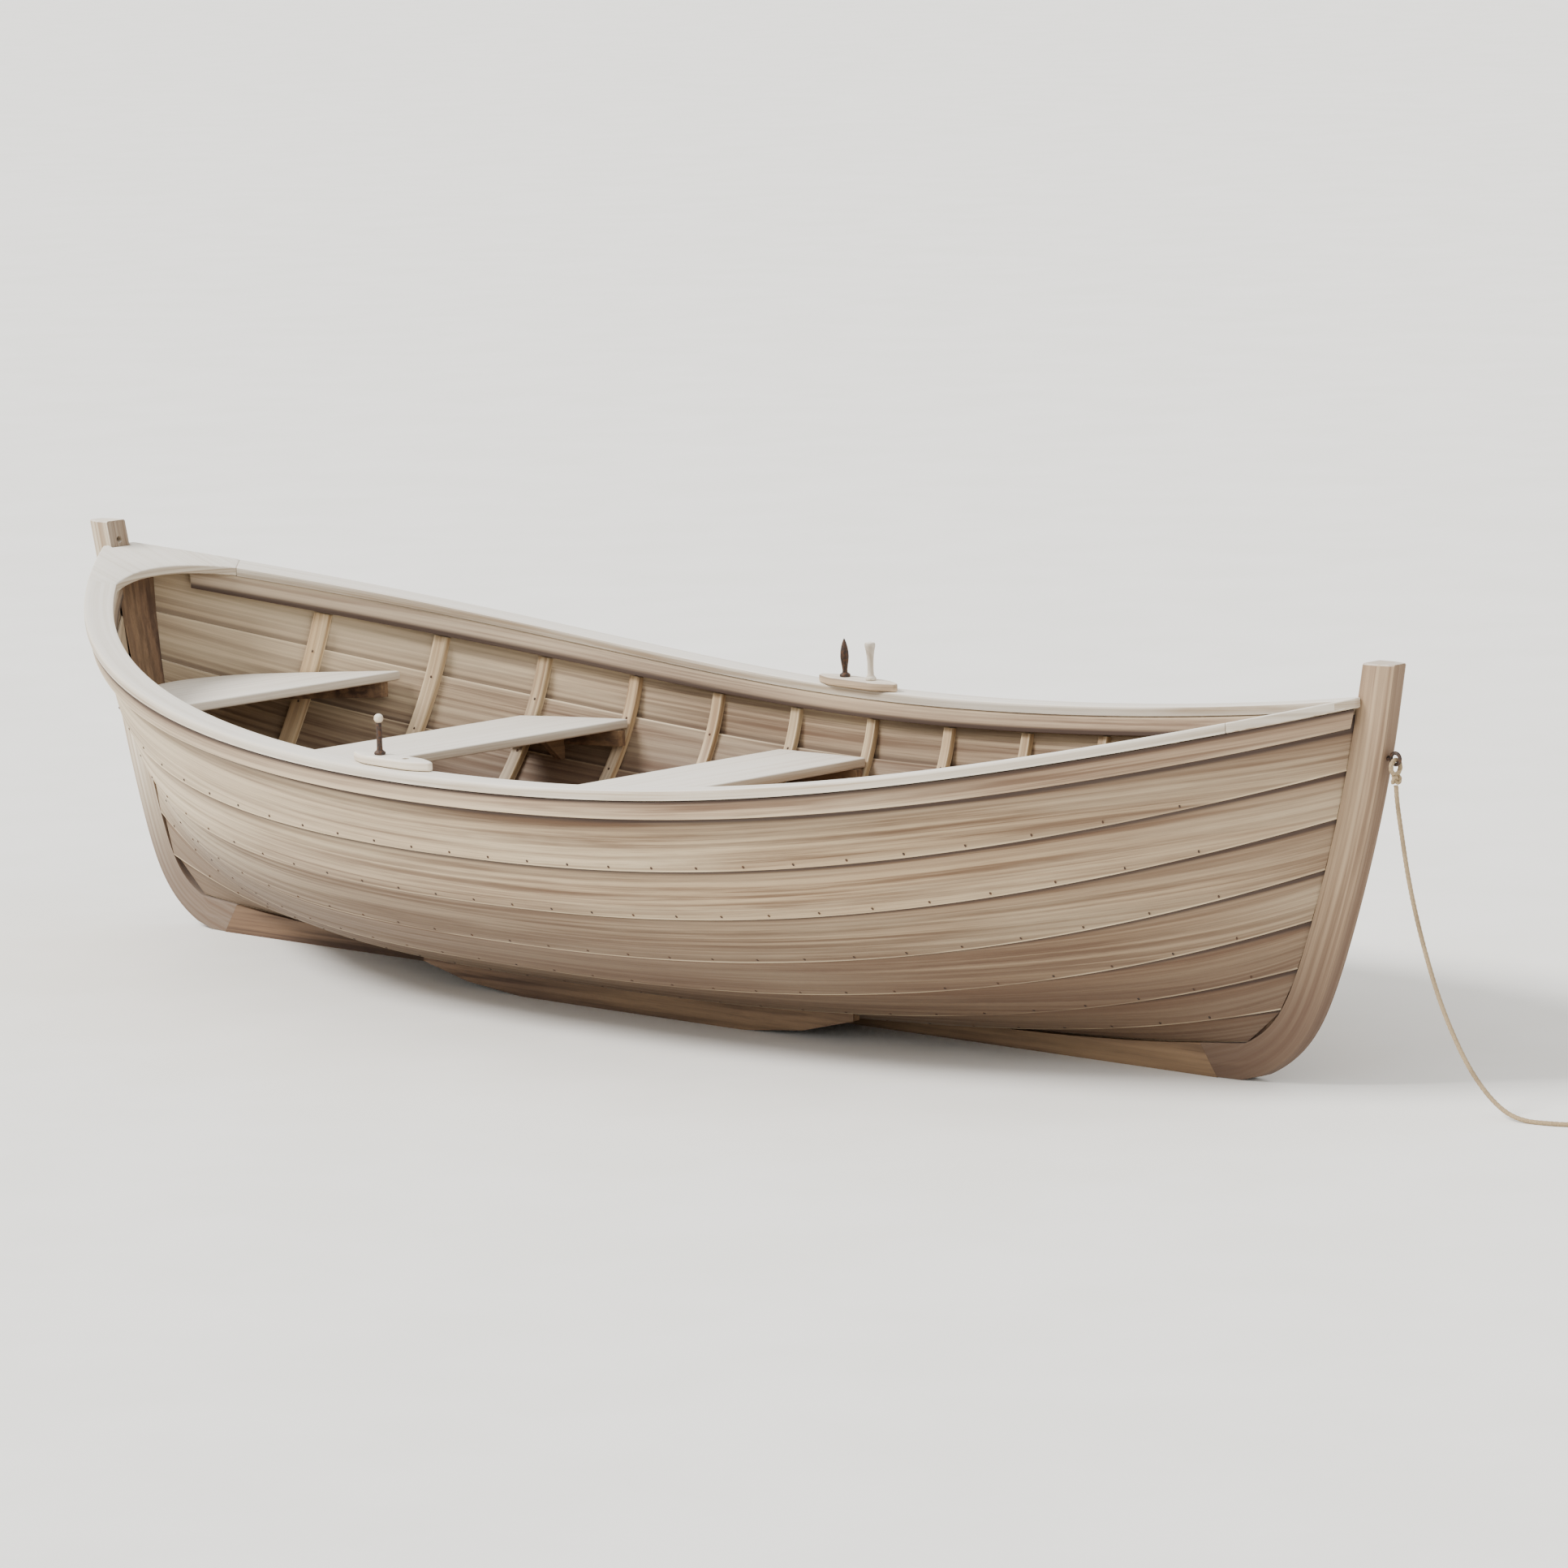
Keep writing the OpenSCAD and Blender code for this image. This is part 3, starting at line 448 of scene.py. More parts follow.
def slab_mesh(name, outline, low, thick, grain, round_by=0.004):
    """A board with the outline's plan; low gives the height of its underside at a point."""
    outline = np.asarray(outline, float)
    count = len(outline)
    bottom = [(x, y, float(low(x, y))) for x, y in outline]
    top = [(x, y, z + thick) for x, y, z in bottom]
    sides = [(i, (i + 1) % count, count + (i + 1) % count, count + i) for i in range(count)]
    faces = [tuple(range(count))[::-1], tuple(range(count, 2 * count))] + sides
    mesh = bpy.data.meshes.new(name)
    mesh.from_pydata(bottom + top, [], faces)
    face_outward(mesh)
    rounded = with_modifier(mesh, "BEVEL", width=round_by, segments=3, limit_method="ANGLE",
                            angle_limit=math.radians(35))
    rounded.name = name
    box_uv(rounded, grain)
    set_marks(rounded)
    smooth(rounded)
    return rounded


def upright_to(way):
    """The turn that takes upright to a direction."""
    return Vector((0, 0, 1)).rotation_difference(Vector(way)).to_matrix().to_4x4()


def rod_mesh(centres, axis, radius):
    """Closed rods about the centres, for cutting holes."""
    bm = bmesh.new()
    for centre in centres:
        bmesh.ops.create_cone(
            bm, cap_ends=True, segments=32, radius1=radius, radius2=radius, depth=DRILL_LENGTH,
            matrix=Matrix.Translation(centre) @ upright_to(axis),
        )
    return mesh_of(bm, "rods")


def drilled(mesh, centres, axis, radius):
    """The mesh with round holes, whose new corners get the marks of plain wood."""
    cutter = placed("cutter", rod_mesh(centres, axis, radius))
    result = with_modifier(mesh, "BOOLEAN", operation="DIFFERENCE", solver="EXACT", object=cutter)
    bpy.data.objects.remove(cutter)
    result.name = mesh.name
    corners = np.empty(len(result.vertices) * 3)
    result.vertices.foreach_get("co", corners)
    rims = np.zeros(len(result.vertices), bool)
    for centre in centres:
        gap = corners.reshape(-1, 3) - centre
        gap -= np.outer(gap @ np.array(axis), axis)
        rims |= np.linalg.norm(gap, axis=1) < radius + RIM_MARGIN
    for name, number in (("edge", FAR), ("lap", FAR), ("tone", None)):
        values = np.empty(len(rims), "f")
        layer = result.attributes[name].data
        layer.foreach_get("value", values)
        values[rims] = values.max() if number is None else number
        layer.foreach_set("value", values)
    smooth(result)
    return result


def turned_mesh(name, profile, place, sides=40):
    """A turned shape: the profile's (radius, height) points swept round a vertical axis."""
    angles = np.linspace(0, 2 * math.pi, sides, endpoint=False)
    rings = [
        np.stack([r * np.cos(angles), r * np.sin(angles), np.full(sides, z)], axis=1) + place
        for r, z in profile
    ]
    return loft_mesh(name, rings)


def rounded_line(points, steps=5):
    """A smooth line through points, by Catmull-Rom."""
    points = np.asarray(points, float)
    padded = np.vstack([2 * points[0] - points[1], points, 2 * points[-1] - points[-2]])
    line = []
    for a, b, c, d in zip(padded, padded[1:], padded[2:], padded[3:]):
        for s in np.arange(steps) / steps:
            line.append(
                0.5 * (2 * b + (c - a) * s + (2 * a - 5 * b + 4 * c - d) * s**2
                       + (3 * b - a - 3 * c + d) * s**3)
            )
    return np.vstack([line, points[-1:]])


def evenly(line, spacing):
    """The same line with its points evenly spaced."""
    step = np.linalg.norm(np.diff(line, axis=0), axis=1)
    run = np.concatenate([[0], np.cumsum(step)])
    places = np.linspace(0, run[-1], max(2, int(round(run[-1] / spacing)) + 1))
    return np.stack([np.interp(places, run, line[:, k]) for k in range(3)], axis=1)


def rope_rings(line, radius, pitch, strands=3, sides=15):
    """Rings of a laid rope: its strands turn about the line once each pitch."""
    tangents = np.gradient(line, axis=0)
    tangents /= np.linalg.norm(tangents, axis=1, keepdims=True)
    across = np.cross(tangents[0], (0.3, 0.9, 0.2))
    rings, run = [], 0.0
    angles = np.linspace(0, 2 * math.pi, sides, endpoint=False)
    for i, (point, tangent) in enumerate(zip(line, tangents)):
        across = across - tangent * np.dot(across, tangent)
        across /= np.linalg.norm(across)
        up = np.cross(tangent, across)
        if i:
            run += np.linalg.norm(point - line[i - 1])
        lobe = np.abs(np.cos(strands / 2 * (angles - 2 * math.pi * run / pitch)))
        size = radius * (0.84 + 0.18 * lobe)
        rings.append(point + size[:, None] * (np.cos(angles)[:, None] * across
                                              + np.sin(angles)[:, None] * up))
    return np.array(rings)


def joined(name, meshes):
    bm = bmesh.new()
    for mesh in meshes:
        bm.from_mesh(mesh)
    mesh = mesh_of(bm, name)
    smooth(mesh)
    return mesh


# ---------------- camera, light and floor

AZIMUTH = math.radians(45.45)
ELEVATION = math.radians(8.65)
DISTANCE = 16.0
ROLL = math.radians(-1.9)
TARGET = Vector((0, 0, 0.45))
LENS = 160.0
SHIFT = (0.0567, 0.0138)
WARM_WHITE = (1.0, 0.98, 0.95)
SKY_WHITE = (0.99, 0.985, 0.97, 1)
SKY_STRENGTH = 1.22


def aimed(name, data, place, target, roll=0.0):
    """A camera or light at a place, turned to look at the target."""
    made = placed(name, data)
    made.location = place
    made.rotation_mode = "QUATERNION"
    turn = (target - place).to_track_quat("-Z", "Y")
    made.rotation_quaternion = turn @ Quaternion((0, 0, 1), roll)
    return made


def way_to(azimuth, elevation):
    """Direction of a place that is so far round from -Y and so far up."""
    level = math.cos(elevation)
    return Vector((math.sin(azimuth) * level, -math.cos(azimuth) * level, math.sin(elevation)))


def make_camera():
    data = bpy.data.cameras.new("camera")
    data.sensor_width = 36.0
    data.lens = LENS
    data.shift_x, data.shift_y = SHIFT
    data.clip_end = 400.0
    place = TARGET + DISTANCE * way_to(AZIMUTH, ELEVATION)
    bpy.context.scene.camera = aimed("camera", data, place, TARGET, ROLL)


def add_sun(name, azimuth, elevation, strength, softness):
    data = bpy.data.lights.new(name, "SUN")
    data.energy = strength
    data.angle = math.radians(softness)
    data.color = WARM_WHITE
    place = 12 * way_to(math.radians(azimuth), math.radians(elevation))
    aimed(name, data, place, Vector((0, 0, 0)))


def light_scene():
    """Soft light from the left, as the photo's pale stern quarter and darker bow show."""
    add_sun("key_light", azimuth=-38, elevation=46, strength=4.6, softness=20)
    add_sun("fill_light", azimuth=75, elevation=30, strength=0.40, softness=60)
    world = bpy.data.worlds.new("studio")
    world.use_nodes = True
    background = world.node_tree.nodes["Background"]
    background.inputs["Color"].default_value = SKY_WHITE
    background.inputs["Strength"].default_value = SKY_STRENGTH
    bpy.context.scene.world = world


# ---------------- materials


def rgb(red, green, blue):
    """A screen colour as the linear one that the shaders take."""
    line = lambda c: c / 12.92 if c <= 0.04045 else ((c + 0.055) / 1.055) ** 2.4
    return (line(red / 255), line(green / 255), line(blue / 255), 1.0)


class Shader:
    """A material's node tree, with short calls for the nodes it needs."""

    def __init__(self, name):
        self.material = bpy.data.materials.new(name)
        self.material.use_nodes = True
        self.tree = self.material.node_tree
        self.surface = self.tree.nodes["Principled BSDF"]

    def node(self, kind, settings=None, **inputs):
        node = self.tree.nodes.new("ShaderNode" + kind)
        for key, value in (settings or {}).items():
            setattr(node, key, value)
        for key, value in inputs.items():
            self.plug(node.inputs[key.replace("_", " ")], value)
        return node

    def plug(self, socket, value):
        if isinstance(value, bpy.types.NodeSocket):
            self.tree.links.new(value, socket)
        else:
            socket.default_value = value

    def math(self, operation, a, b):
        node = self.node("Math", {"operation": operation})
        self.plug(node.inputs[0], a)
        self.plug(node.inputs[1], b)
        return node.outputs[0]

    def times(self, a, b):
        return self.math("MULTIPLY", a, b)

    def plus(self, a, b):
        return self.math("ADD", a, b)

    def ramp(self, value, low, high, to_low=0.0, to_high=1.0):
        return self.node("MapRange", {"interpolation_type": "SMOOTHSTEP"}, Value=value,
                         From_Min=low, From_Max=high, To_Min=to_low, To_Max=to_high).outputs[0]

    def blend(self, share, a, b, kind="MIX"):
        """Colour a with b over it; a Mix node takes and gives them at sockets 6, 7 and 2."""
        node = self.node("Mix", {"data_type": "RGBA", "blend_type": kind})
        for socket, value in ((0, share), (6, a), (7, b)):
            self.plug(node.inputs[socket], value)
        return node.outputs[2]

    def stretched(self, vector, stretch):
        return self.node("Mapping", Vector=vector, Scale=stretch).outputs[0]

    def noise(self, vector, stretch, scale=1.0, detail=4.0, roughness=0.55, twist=0.0):
        return self.node("TexNoise", Vector=self.stretched(vector, stretch), Scale=scale,
                         Detail=detail, Roughness=roughness, Distortion=twist).outputs[0]

    def value(self, name):
        return self.node("Attribute", {"attribute_name": name}).outputs["Fac"]

    def place(self):
        return self.node("TexCoord").outputs["Object"]

    def finish(self, colour, roughness, height, bump=0.3, depth=0.001):
        self.plug(self.surface.inputs["Base Color"], colour)
        self.plug(self.surface.inputs["Roughness"], roughness)
        node = self.node("Bump", Height=height, Strength=bump, Distance=depth)
        self.plug(self.surface.inputs["Normal"], node.outputs[0])
        return self.material


def grain_vector(shader, grain):
    """Coordinates whose first axis runs along the grain: laid ones, or the place itself."""
    if grain == "laid":
        return shader.node("UVMap", {"uv_map": "Grain"}).outputs[0]
    split = shader.node("SeparateXYZ", Vector=shader.place())
    order = {"x": (0, 1, 2), "y": (1, 0, 2), "z": (2, 1, 0)}[grain]
    joint = shader.node("CombineXYZ")
    for k, source in enumerate(order):
        shader.plug(joint.inputs[k], split.outputs[source])
    return joint.outputs[0]


def low_darkening_height(s, place, streak):
    """Height over the floor, made uneven by the streaks, for the edge of the darkening towards
    the bottom.
    """
    return s.plus(place.outputs[2], s.times(streak, 0.14))


def wood(name, light, mid, dark, grain="laid", bleach_and_top_light=0.0, streaks=1.0, hull=False, fore_shade_and_low_dark=False):
    """Weathered wood: long streaks, fibres, figure, blotches, edges lighter with wear and a
    painted highlight, and upper faces greyed and paler with bleaching and painted light from
    above.
    """
    s = Shader(name)
    light, mid, dark = rgb(*light), rgb(*mid), rgb(*dark)
    vector = grain_vector(s, grain)
    streak = s.noise(vector, (0.75, 62, 62), detail=8, roughness=0.66, twist=0.20)
    fibre = s.noise(vector, (7, 520, 520), detail=3, roughness=0.7)
    blotch = s.noise(vector, (0.9, 9, 9), scale=1.2, detail=5, roughness=0.55, twist=0.3)
    figure = s.node("TexWave", {"bands_direction": "Y"}, Vector=s.stretched(vector, (0.5, 9, 9)),
                    Scale=1.6, Distortion=7.0, Detail=3.0, Detail_Scale=0.6).outputs["Fac"]

    colour = s.blend(s.ramp(streak, 0.38, 0.60), dark, mid)
    colour = s.blend(s.ramp(blotch, 0.36, 0.72, 0.0, 0.70), colour, light)
    colour = s.blend(s.times(s.ramp(figure, 0.55, 0.95), 0.32 * streaks), colour, dark)
    colour = s.blend(s.times(s.ramp(fibre, 0.50, 0.72), 0.40 * streaks), colour, dark)
    if grain == "laid":
        tone = s.ramp(s.value("tone"), 0.0, 1.0, 0.80, 1.10)
        shade = s.node("CombineColor", Red=tone, Green=tone, Blue=tone)
        colour = s.blend(1.0, colour, shade.outputs[0], "MULTIPLY")

    normal = s.node("SeparateXYZ", Vector=s.node("NewGeometry").outputs["Normal"])
    upward = s.ramp(normal.outputs[2], 0.25, 0.85)
    place = s.node("SeparateXYZ", Vector=s.place())
    if hull:
        colour = hull_light_shade_and_tone(s, colour, streak, blotch, place)
        upward = s.times(upward, s.ramp(s.value("inside"), 0.0, 1.0, 1.0, 0.05))
    # Upward faces paler: part bleaching, part painted light from above.
    if bleach_and_top_light:
        patchy = s.times(s.ramp(streak, 0.30, 0.55, 0.80, 1.0), bleach_and_top_light)
        colour = s.blend(s.times(upward, patchy), colour, rgb(236, 231, 221))
    if grain == "laid":
        # Lighter along rounded edges: wear, and a painted highlight where edges catch the light.
        worn_and_lit_edge = s.times(s.ramp(s.value("edge"), 0.0, 0.006, 1.0, 0.0),
                       s.ramp(blotch, 0.40, 0.60, 0.15, 0.65))
        colour = s.blend(worn_and_lit_edge, colour, light)
        colour = lap_shade(s, colour, streak)
    # Painted shade on faces turned towards the bow, away from the light, and darker towards the
    # bottom.
    if fore_shade_and_low_dark:
        fore = s.times(s.ramp(normal.outputs[0], 0.45, 0.85, 0.0, 0.78),
                       s.ramp(streak, 0.25, 0.65, 1.0, 0.7))
        colour = s.blend(fore, colour, rgb(98, 74, 56))
        darker_low = s.ramp(low_darkening_height(s, place, streak), 0.16, 0.56, 0.84, 0.0)
        colour = s.blend(darker_low, colour, rgb(88, 66, 52))
    height = s.plus(s.times(fibre, 0.6), s.times(streak, 0.9))
    return s.finish(colour, s.ramp(streak, 0.3, 0.7, 0.82, 0.58), height, 0.35, 0.0012)


def lap_shade(s, colour, streak):
    """Painted shade: a dark shadow line where one strake goes under the next and under the rails,
    with softer shade beside it, uneven along its length.
    """
    near = s.ramp(s.plus(s.value("lap"), s.times(streak, 0.004)), 0.009, 0.020, 1.0, 0.0)
    wide = s.ramp(s.value("lap"), 0.0, 0.060, 0.58, 0.0)
    share = s.ramp(s.value("inside"), 0.0, 1.0, 1.0, 0.45)
    # Soft painted shade a few centimetres wide, then the dark painted shadow line; both weaker
    # inside.
    colour = s.blend(s.times(wide, share), colour, rgb(98, 72, 52))
    return s.blend(s.times(near, s.times(share, 0.95)), colour, rgb(56, 38, 28))


def hull_light_shade_and_tone(s, colour, streak, blotch, place):
    """Planking outside gets painted light aft and painted shade forward, and is darker towards
    the bottom.

    Inside it has painted shade low down and painted light high up near the rails."""
    inside = s.value("inside")
    outside = s.math("SUBTRACT", 1.0, inside)
    along = s.plus(place.outputs[0], s.times(blotch, 0.9))
    # Painted light: paler aft, where the light from the left falls.
    pale = s.times(s.times(s.ramp(along, -1.4, 1.1, 1.0, 0.0), outside), 0.66)
    pale = s.times(pale, s.ramp(streak, 0.30, 0.56, 0.35, 1.0))
    colour = s.blend(pale, colour, rgb(213, 197, 170))
    # Painted shade: browner towards the bow, away from the light.
    bowward = s.times(s.ramp(along, 1.2, 2.5, 0.0, 0.44), outside)
    colour = s.blend(bowward, colour, rgb(108, 85, 67))
    # Darker towards the bottom.
    darker_low = s.ramp(low_darkening_height(s, place, streak), 0.24, 0.54, 0.80, 0.0)
    colour = s.blend(darker_low, colour, rgb(80, 57, 42))
    # Painted light inside, high up near the rails.
    lit_high_inside = s.times(s.ramp(place.outputs[2], 0.46, 0.70, 0.0, 0.34), inside)
    colour = s.blend(lit_high_inside, colour, rgb(216, 199, 170))
    # Painted shade inside, low down in the hull.
    shaded_low_inside = s.times(inside, s.ramp(place.outputs[2], 0.30, 0.62, 0.86, 0.06))
    return s.blend(shaded_low_inside, colour, rgb(86, 61, 45))


def iron(name):
    s = Shader(name)
    place = s.place()
    coarse = s.noise(place, (1, 1, 1), scale=160, detail=6, roughness=0.65)
    fine = s.noise(place, (1, 1, 1), scale=900, detail=3)
    colour = s.blend(s.ramp(coarse, 0.40, 0.66), rgb(58, 50, 46), rgb(104, 74, 54))
    colour = s.blend(s.times(s.ramp(fine, 0.5, 0.7), 0.4), colour, rgb(36, 33, 32))
    s.surface.inputs["Metallic"].default_value = 0.55
    height = s.plus(coarse, s.times(fine, 0.5))
    return s.finish(colour, s.ramp(coarse, 0.35, 0.7, 0.48, 0.82), height, 0.4, 0.0006)


def hemp(name):
    """Laid rope: pale and darker fibres, a little grubby."""
    s = Shader(name)
    vector = grain_vector(s, "laid")
    fibre = s.noise(vector, (300, 1400, 1), detail=4, roughness=0.7)
    dirt = s.noise(s.place(), (1, 1, 1), scale=14, detail=4)
    colour = s.blend(s.ramp(fibre, 0.35, 0.65), rgb(118, 97, 70), rgb(186, 165, 130))
    colour = s.blend(s.times(s.ramp(dirt, 0.45, 0.7), 0.45), colour, rgb(104, 85, 62))
    return s.finish(colour, s.ramp(fibre, 0.3, 0.7, 0.95, 0.80), fibre, 0.5, 0.0008)


def floor_material():
    s = Shader("pale_floor")
    speckle = s.noise(s.place(), (1, 1, 1), scale=2.2, detail=5)
    colour = s.blend(s.ramp(speckle, 0.35, 0.65), rgb(243, 242, 237), rgb(246, 245, 241))
    return s.finish(colour, s.ramp(speckle, 0.3, 0.7, 0.72, 0.80), speckle, 0.02, 0.0005)


# Each wood's light, middle and dark tones
planking = wood("planking_wood", (226, 206, 170), (193, 167, 131), (112, 85, 61), bleach_and_top_light=0.5,
                hull=True)
bleached = wood("bleached_wood", (230, 222, 207), (216, 203, 182), (166, 143, 115), bleach_and_top_light=0.78,
                streaks=0.6)
seat_wood = wood("seat_wood", (230, 221, 205), (219, 206, 186), (170, 148, 122), bleach_and_top_light=0.75,
                 streaks=0.8)
rail_wood = wood("rail_wood", (220, 200, 168), (192, 166, 134), (112, 88, 68), bleach_and_top_light=0.55,
                 hull=True)
rib_wood = wood("rib_wood", (214, 192, 154), (190, 162, 122), (132, 100, 68), bleach_and_top_light=0.35)
stem_wood = wood("stem_wood", (176, 152, 122), (150, 125, 98), (104, 80, 61), bleach_and_top_light=0.5,
                 streaks=0.8, fore_shade_and_low_dark=True)
post_wood = wood("post_wood", (226, 214, 194), (206, 190, 164), (150, 124, 96), bleach_and_top_light=0.6,
                 streaks=0.9, fore_shade_and_low_dark=True)
board_wood = wood("board_wood", (168, 140, 104), (136, 106, 76), (84, 58, 40), bleach_and_top_light=0.10)
DARK_TONES = ((148, 120, 88), (116, 88, 62), (70, 49, 35))
dark_along = wood("dark_wood_along", *DARK_TONES, grain="x")
dark_across = wood("dark_wood_across", *DARK_TONES, grain="y")
dark_upright = wood("dark_wood_upright", *DARK_TONES, grain="z")
black_iron = iron("forged_iron")
nail_metal = iron("dull_nails")
rope = hemp("hemp_rope")

# ---------------- painter

# The painter's route from its knot at the bow to the coil, as in the CAD source
ROUTE = (
    (2.080, 0, 0.669), (2.083, 0, 0.630), (2.094, 0, 0.560), (2.110, -0.002, 0.480),
    (2.132, -0.005, 0.400), (2.161, -0.010, 0.320), (2.196, -0.016, 0.240),
    (2.238, -0.022, 0.165), (2.285, -0.028, 0.100), (2.335, -0.032, 0.050),
    (2.385, -0.034, 0.018), (2.435, -0.034, 0.006), (2.490, -0.026, 0.005),
    (2.545, -0.004, 0.005), (2.590, 0.036, 0.005), (2.620, 0.090, 0.005),
    (2.634, 0.150, 0.005), (2.632, 0.210, 0.005), (2.616, 0.262, 0.005),
)
COIL_CENTRE = (2.560, 0.245)
COIL_TRACKS = (0.063, 0.053)
COIL_TURNS = 8
ROPE_LAY = 0.034
ROPE_STEP = 0.004
WHIPPING = 0.022
TWINE = 0.0007
LOOP_RADIUS = 0.015
KNOT_SIZE = 0.0030
KNOT_ROPE = 0.0038


def coil_line():
    """Turns beside and on each other: out, in, and up a layer, then in, out, and up again."""
    start = math.atan2(ROUTE[-1][1] - COIL_CENTRE[1], ROUTE[-1][0] - COIL_CENTRE[0])
    first = math.dist(ROUTE[-1][:2], COIL_CENTRE)
    crossing = math.radians(45)
    places = [(first, ROPE_SIZE / 2)]
    for turn in range(COIL_TURNS):
        layer = turn // 2
        track = COIL_TRACKS[(turn + layer) % 2]
        places.append((track, ROPE_SIZE * (layer + 0.5)))
    line = []
    for turn in range(COIL_TURNS):
        before, here = places[turn], places[turn + 1]
        for angle in np.linspace(0, 2 * math.pi, 72, endpoint=False):
            share = min(angle / crossing, 1)
            share = share * share * (3 - 2 * share)
            radius, z = (mix(a, b, share) for a, b in zip(before, here))
            a = start + angle
            line.append((COIL_CENTRE[0] + radius * math.cos(a),
                         COIL_CENTRE[1] + radius * math.sin(a), z))
    return np.array(line)


def loop_meshes():
    """The loop through the eye, and the knot that holds it."""
    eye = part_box("painter_bend")
    x = (eye[0][0] + eye[1][0]) / 2
    centre = Vector((x, 0, eye[1][2] - 0.020))
    angles = np.linspace(-math.pi / 2, 1.5 * math.pi, 60)
    ring = np.stack([np.full(60, centre.x), LOOP_RADIUS * np.cos(angles),
                     centre.z + LOOP_RADIUS * np.sin(angles)], axis=1)
    p = np.linspace(0, 2 * math.pi, 120)
    knot = KNOT_SIZE * np.stack([np.sin(p) + 2 * np.sin(2 * p), np.cos(p) - 2 * np.cos(2 * p),
                                 -2.2 * np.sin(3 * p)], axis=1)
    knot += (centre.x, 0, eye[0][2] + 0.013)
    return joined("painter_loop", [
        loft_mesh("loop", rope_rings(ring, ROPE_SIZE / 2, ROPE_LAY)),
        loft_mesh("knot", rope_rings(knot, KNOT_ROPE, ROPE_LAY * 0.7)),
    ])


def make_painter():
    line = evenly(np.vstack([rounded_line(ROUTE, 12)[:-1], coil_line()]), ROPE_STEP)
    length = float(np.linalg.norm(np.diff(line, axis=0), axis=1).sum())
    mesh = loft_mesh("painter_rope", rope_rings(line, ROPE_SIZE / 2, ROPE_LAY))
    painter = add_piece("painter_rope", mesh, rope, "rope", "painter", "painter_coil")
    end = evenly(line[-int(WHIPPING / ROPE_STEP):], TWINE)
    turns = loft_mesh("painter_whipping",
                      rope_rings(end, ROPE_SIZE / 2 + TWINE, 3 * TWINE, strands=1))
    whipping = add_piece("painter_whipping", turns, rope, "rope")
    loop = add_piece("painter_loop", loop_meshes(), rope, "rope", "painter_bend")


# ---------------- planking and rails

def strake_mesh(side, n):
    t = stations()
    low, land, top = LANDS[n], land_share(t), strake_top(n, t)
    first, last = n == 0, n == STRAKES - 1
    back = GAP if first else LAP_OUT
    a = skin(t, low, back)
    b = skin(t, low + land, GAP if first else lap_in(n, t))
    c = skin(t, top, 0)
    d = skin(t, top, PLANK if last else lap_in(n + 1, t) - GAP)
    e = strake_face(n, t, 0.9) if last else skin(t, LANDS[n + 1], PLANK)
    f = skin(t, low, back + PLANK if not first else PLANK)
    rings = mirrored(np.stack([a, b, c, d, e, f], axis=1), side)
    far = np.full(len(t), FAR)
    inner = np.linalg.norm(c - b, axis=1)
    outer = np.linalg.norm(f - e, axis=1)
    zero = covered = np.zeros(len(t))
    # On the last strake the painted shadow line lies under the rubbing strake.
    if last:
        under_rail = strake_face(n, t, (1 - RUB_DEPTH / (girth(t) * (1 - low)))[:, None])
        covered = -np.linalg.norm(e - under_rail, axis=1)
        outer = np.linalg.norm(f - under_rail, axis=1)
    lap = np.stack([zero, zero, inner, far if last else zero, covered, outer], axis=1)
    inside = np.array([1, 1, 1, 0, 0, 0])
    rounds = (0.0012, 0, 0.0015, 0.0015, 0, 0.0018)
    rings, edge, (lap, inside) = soften(rings, rounds, [lap, inside])
    return loft_mesh(f"{side}_strake_{n + 1}", rings, edge, lap, inside)


def rail_mesh(name, side, corners, radii, lap=FAR):
    rings = mirrored(np.stack(corners, axis=1), side)
    rings, edge, (lap,) = soften(rings, radii, [np.asarray(lap)])
    return loft_mesh(name, rings, edge, lap)


def rubbing_strake_mesh(side):
    t = stations(RUB_END)
    n = STRAKES - 1
    width = girth(t) * (1 - LANDS[n])
    low = strake_face(n, t, (1 - RUB_DEPTH / width)[:, None], RUB_GAP)
    out = sheer_out(t) * RUB_THICK
    under = low + out
    under[:, 2] += sheer_at(under[:, 0]) - sheer_at(low[:, 0])
    corners = [low, rail_point(t, PLANK + RUB_GAP, 0, GAP),
               rail_point(t, PLANK + RUB_GAP, RUB_THICK, GAP), under]
    # The marks put painted shadow on the outer face near its top, under the cap's overhang, and
    # on the underside next to the planking.
    return rail_mesh(f"{side}_rubbing_strake", side, corners, (0.001, 0.001, 0.005, 0.006),
                     np.array([0.0, 0.0, 0.004, FAR / 10]))


def inwale_mesh(side):
    t = stations(RAIL_END)
    n = STRAKES - 1
    share = 1 - INWALE_DEPTH / (girth(t) * (1 - LANDS[n] - land_share(t)))
    low = mix(skin(t, LANDS[n] + land_share(t), lap_in(n, t)), skin(t, 1, 0), share[:, None])
    low = low - 3 * GAP * sheer_out(t)
    inner = low - sheer_out(t) * INWALE_THICK
    inner[:, 2] += sheer_at(inner[:, 0]) - sheer_at(low[:, 0])
    corners = [low, inner, rail_point(t, -GAP, -INWALE_THICK, GAP), rail_point(t, -GAP, 0, GAP)]
    # The marks put painted shade along the inwale's underside and the lower edge of its inner
    # face.
    return rail_mesh(f"{side}_inwale", side, corners, (0.001, 0.005, 0.002, 0.001),
                     np.array([0.0, 0.001, 0.040, 0.040]))


def cap_mesh(side):
    t = stations(CAP_END)
    base, top = -CAP_GAP, -CAP_GAP - CAP_THICK
    corners = [rail_point(t, 0, -CAP_INNER, base), rail_point(t, 0, -CAP_INNER, top),
               rail_point(t, PLANK, CAP_OUTER, top), rail_point(t, PLANK, CAP_OUTER, base)]
    return rail_mesh(f"{side}_cap", side, corners, (0.003, 0.005, 0.006, 0.003))


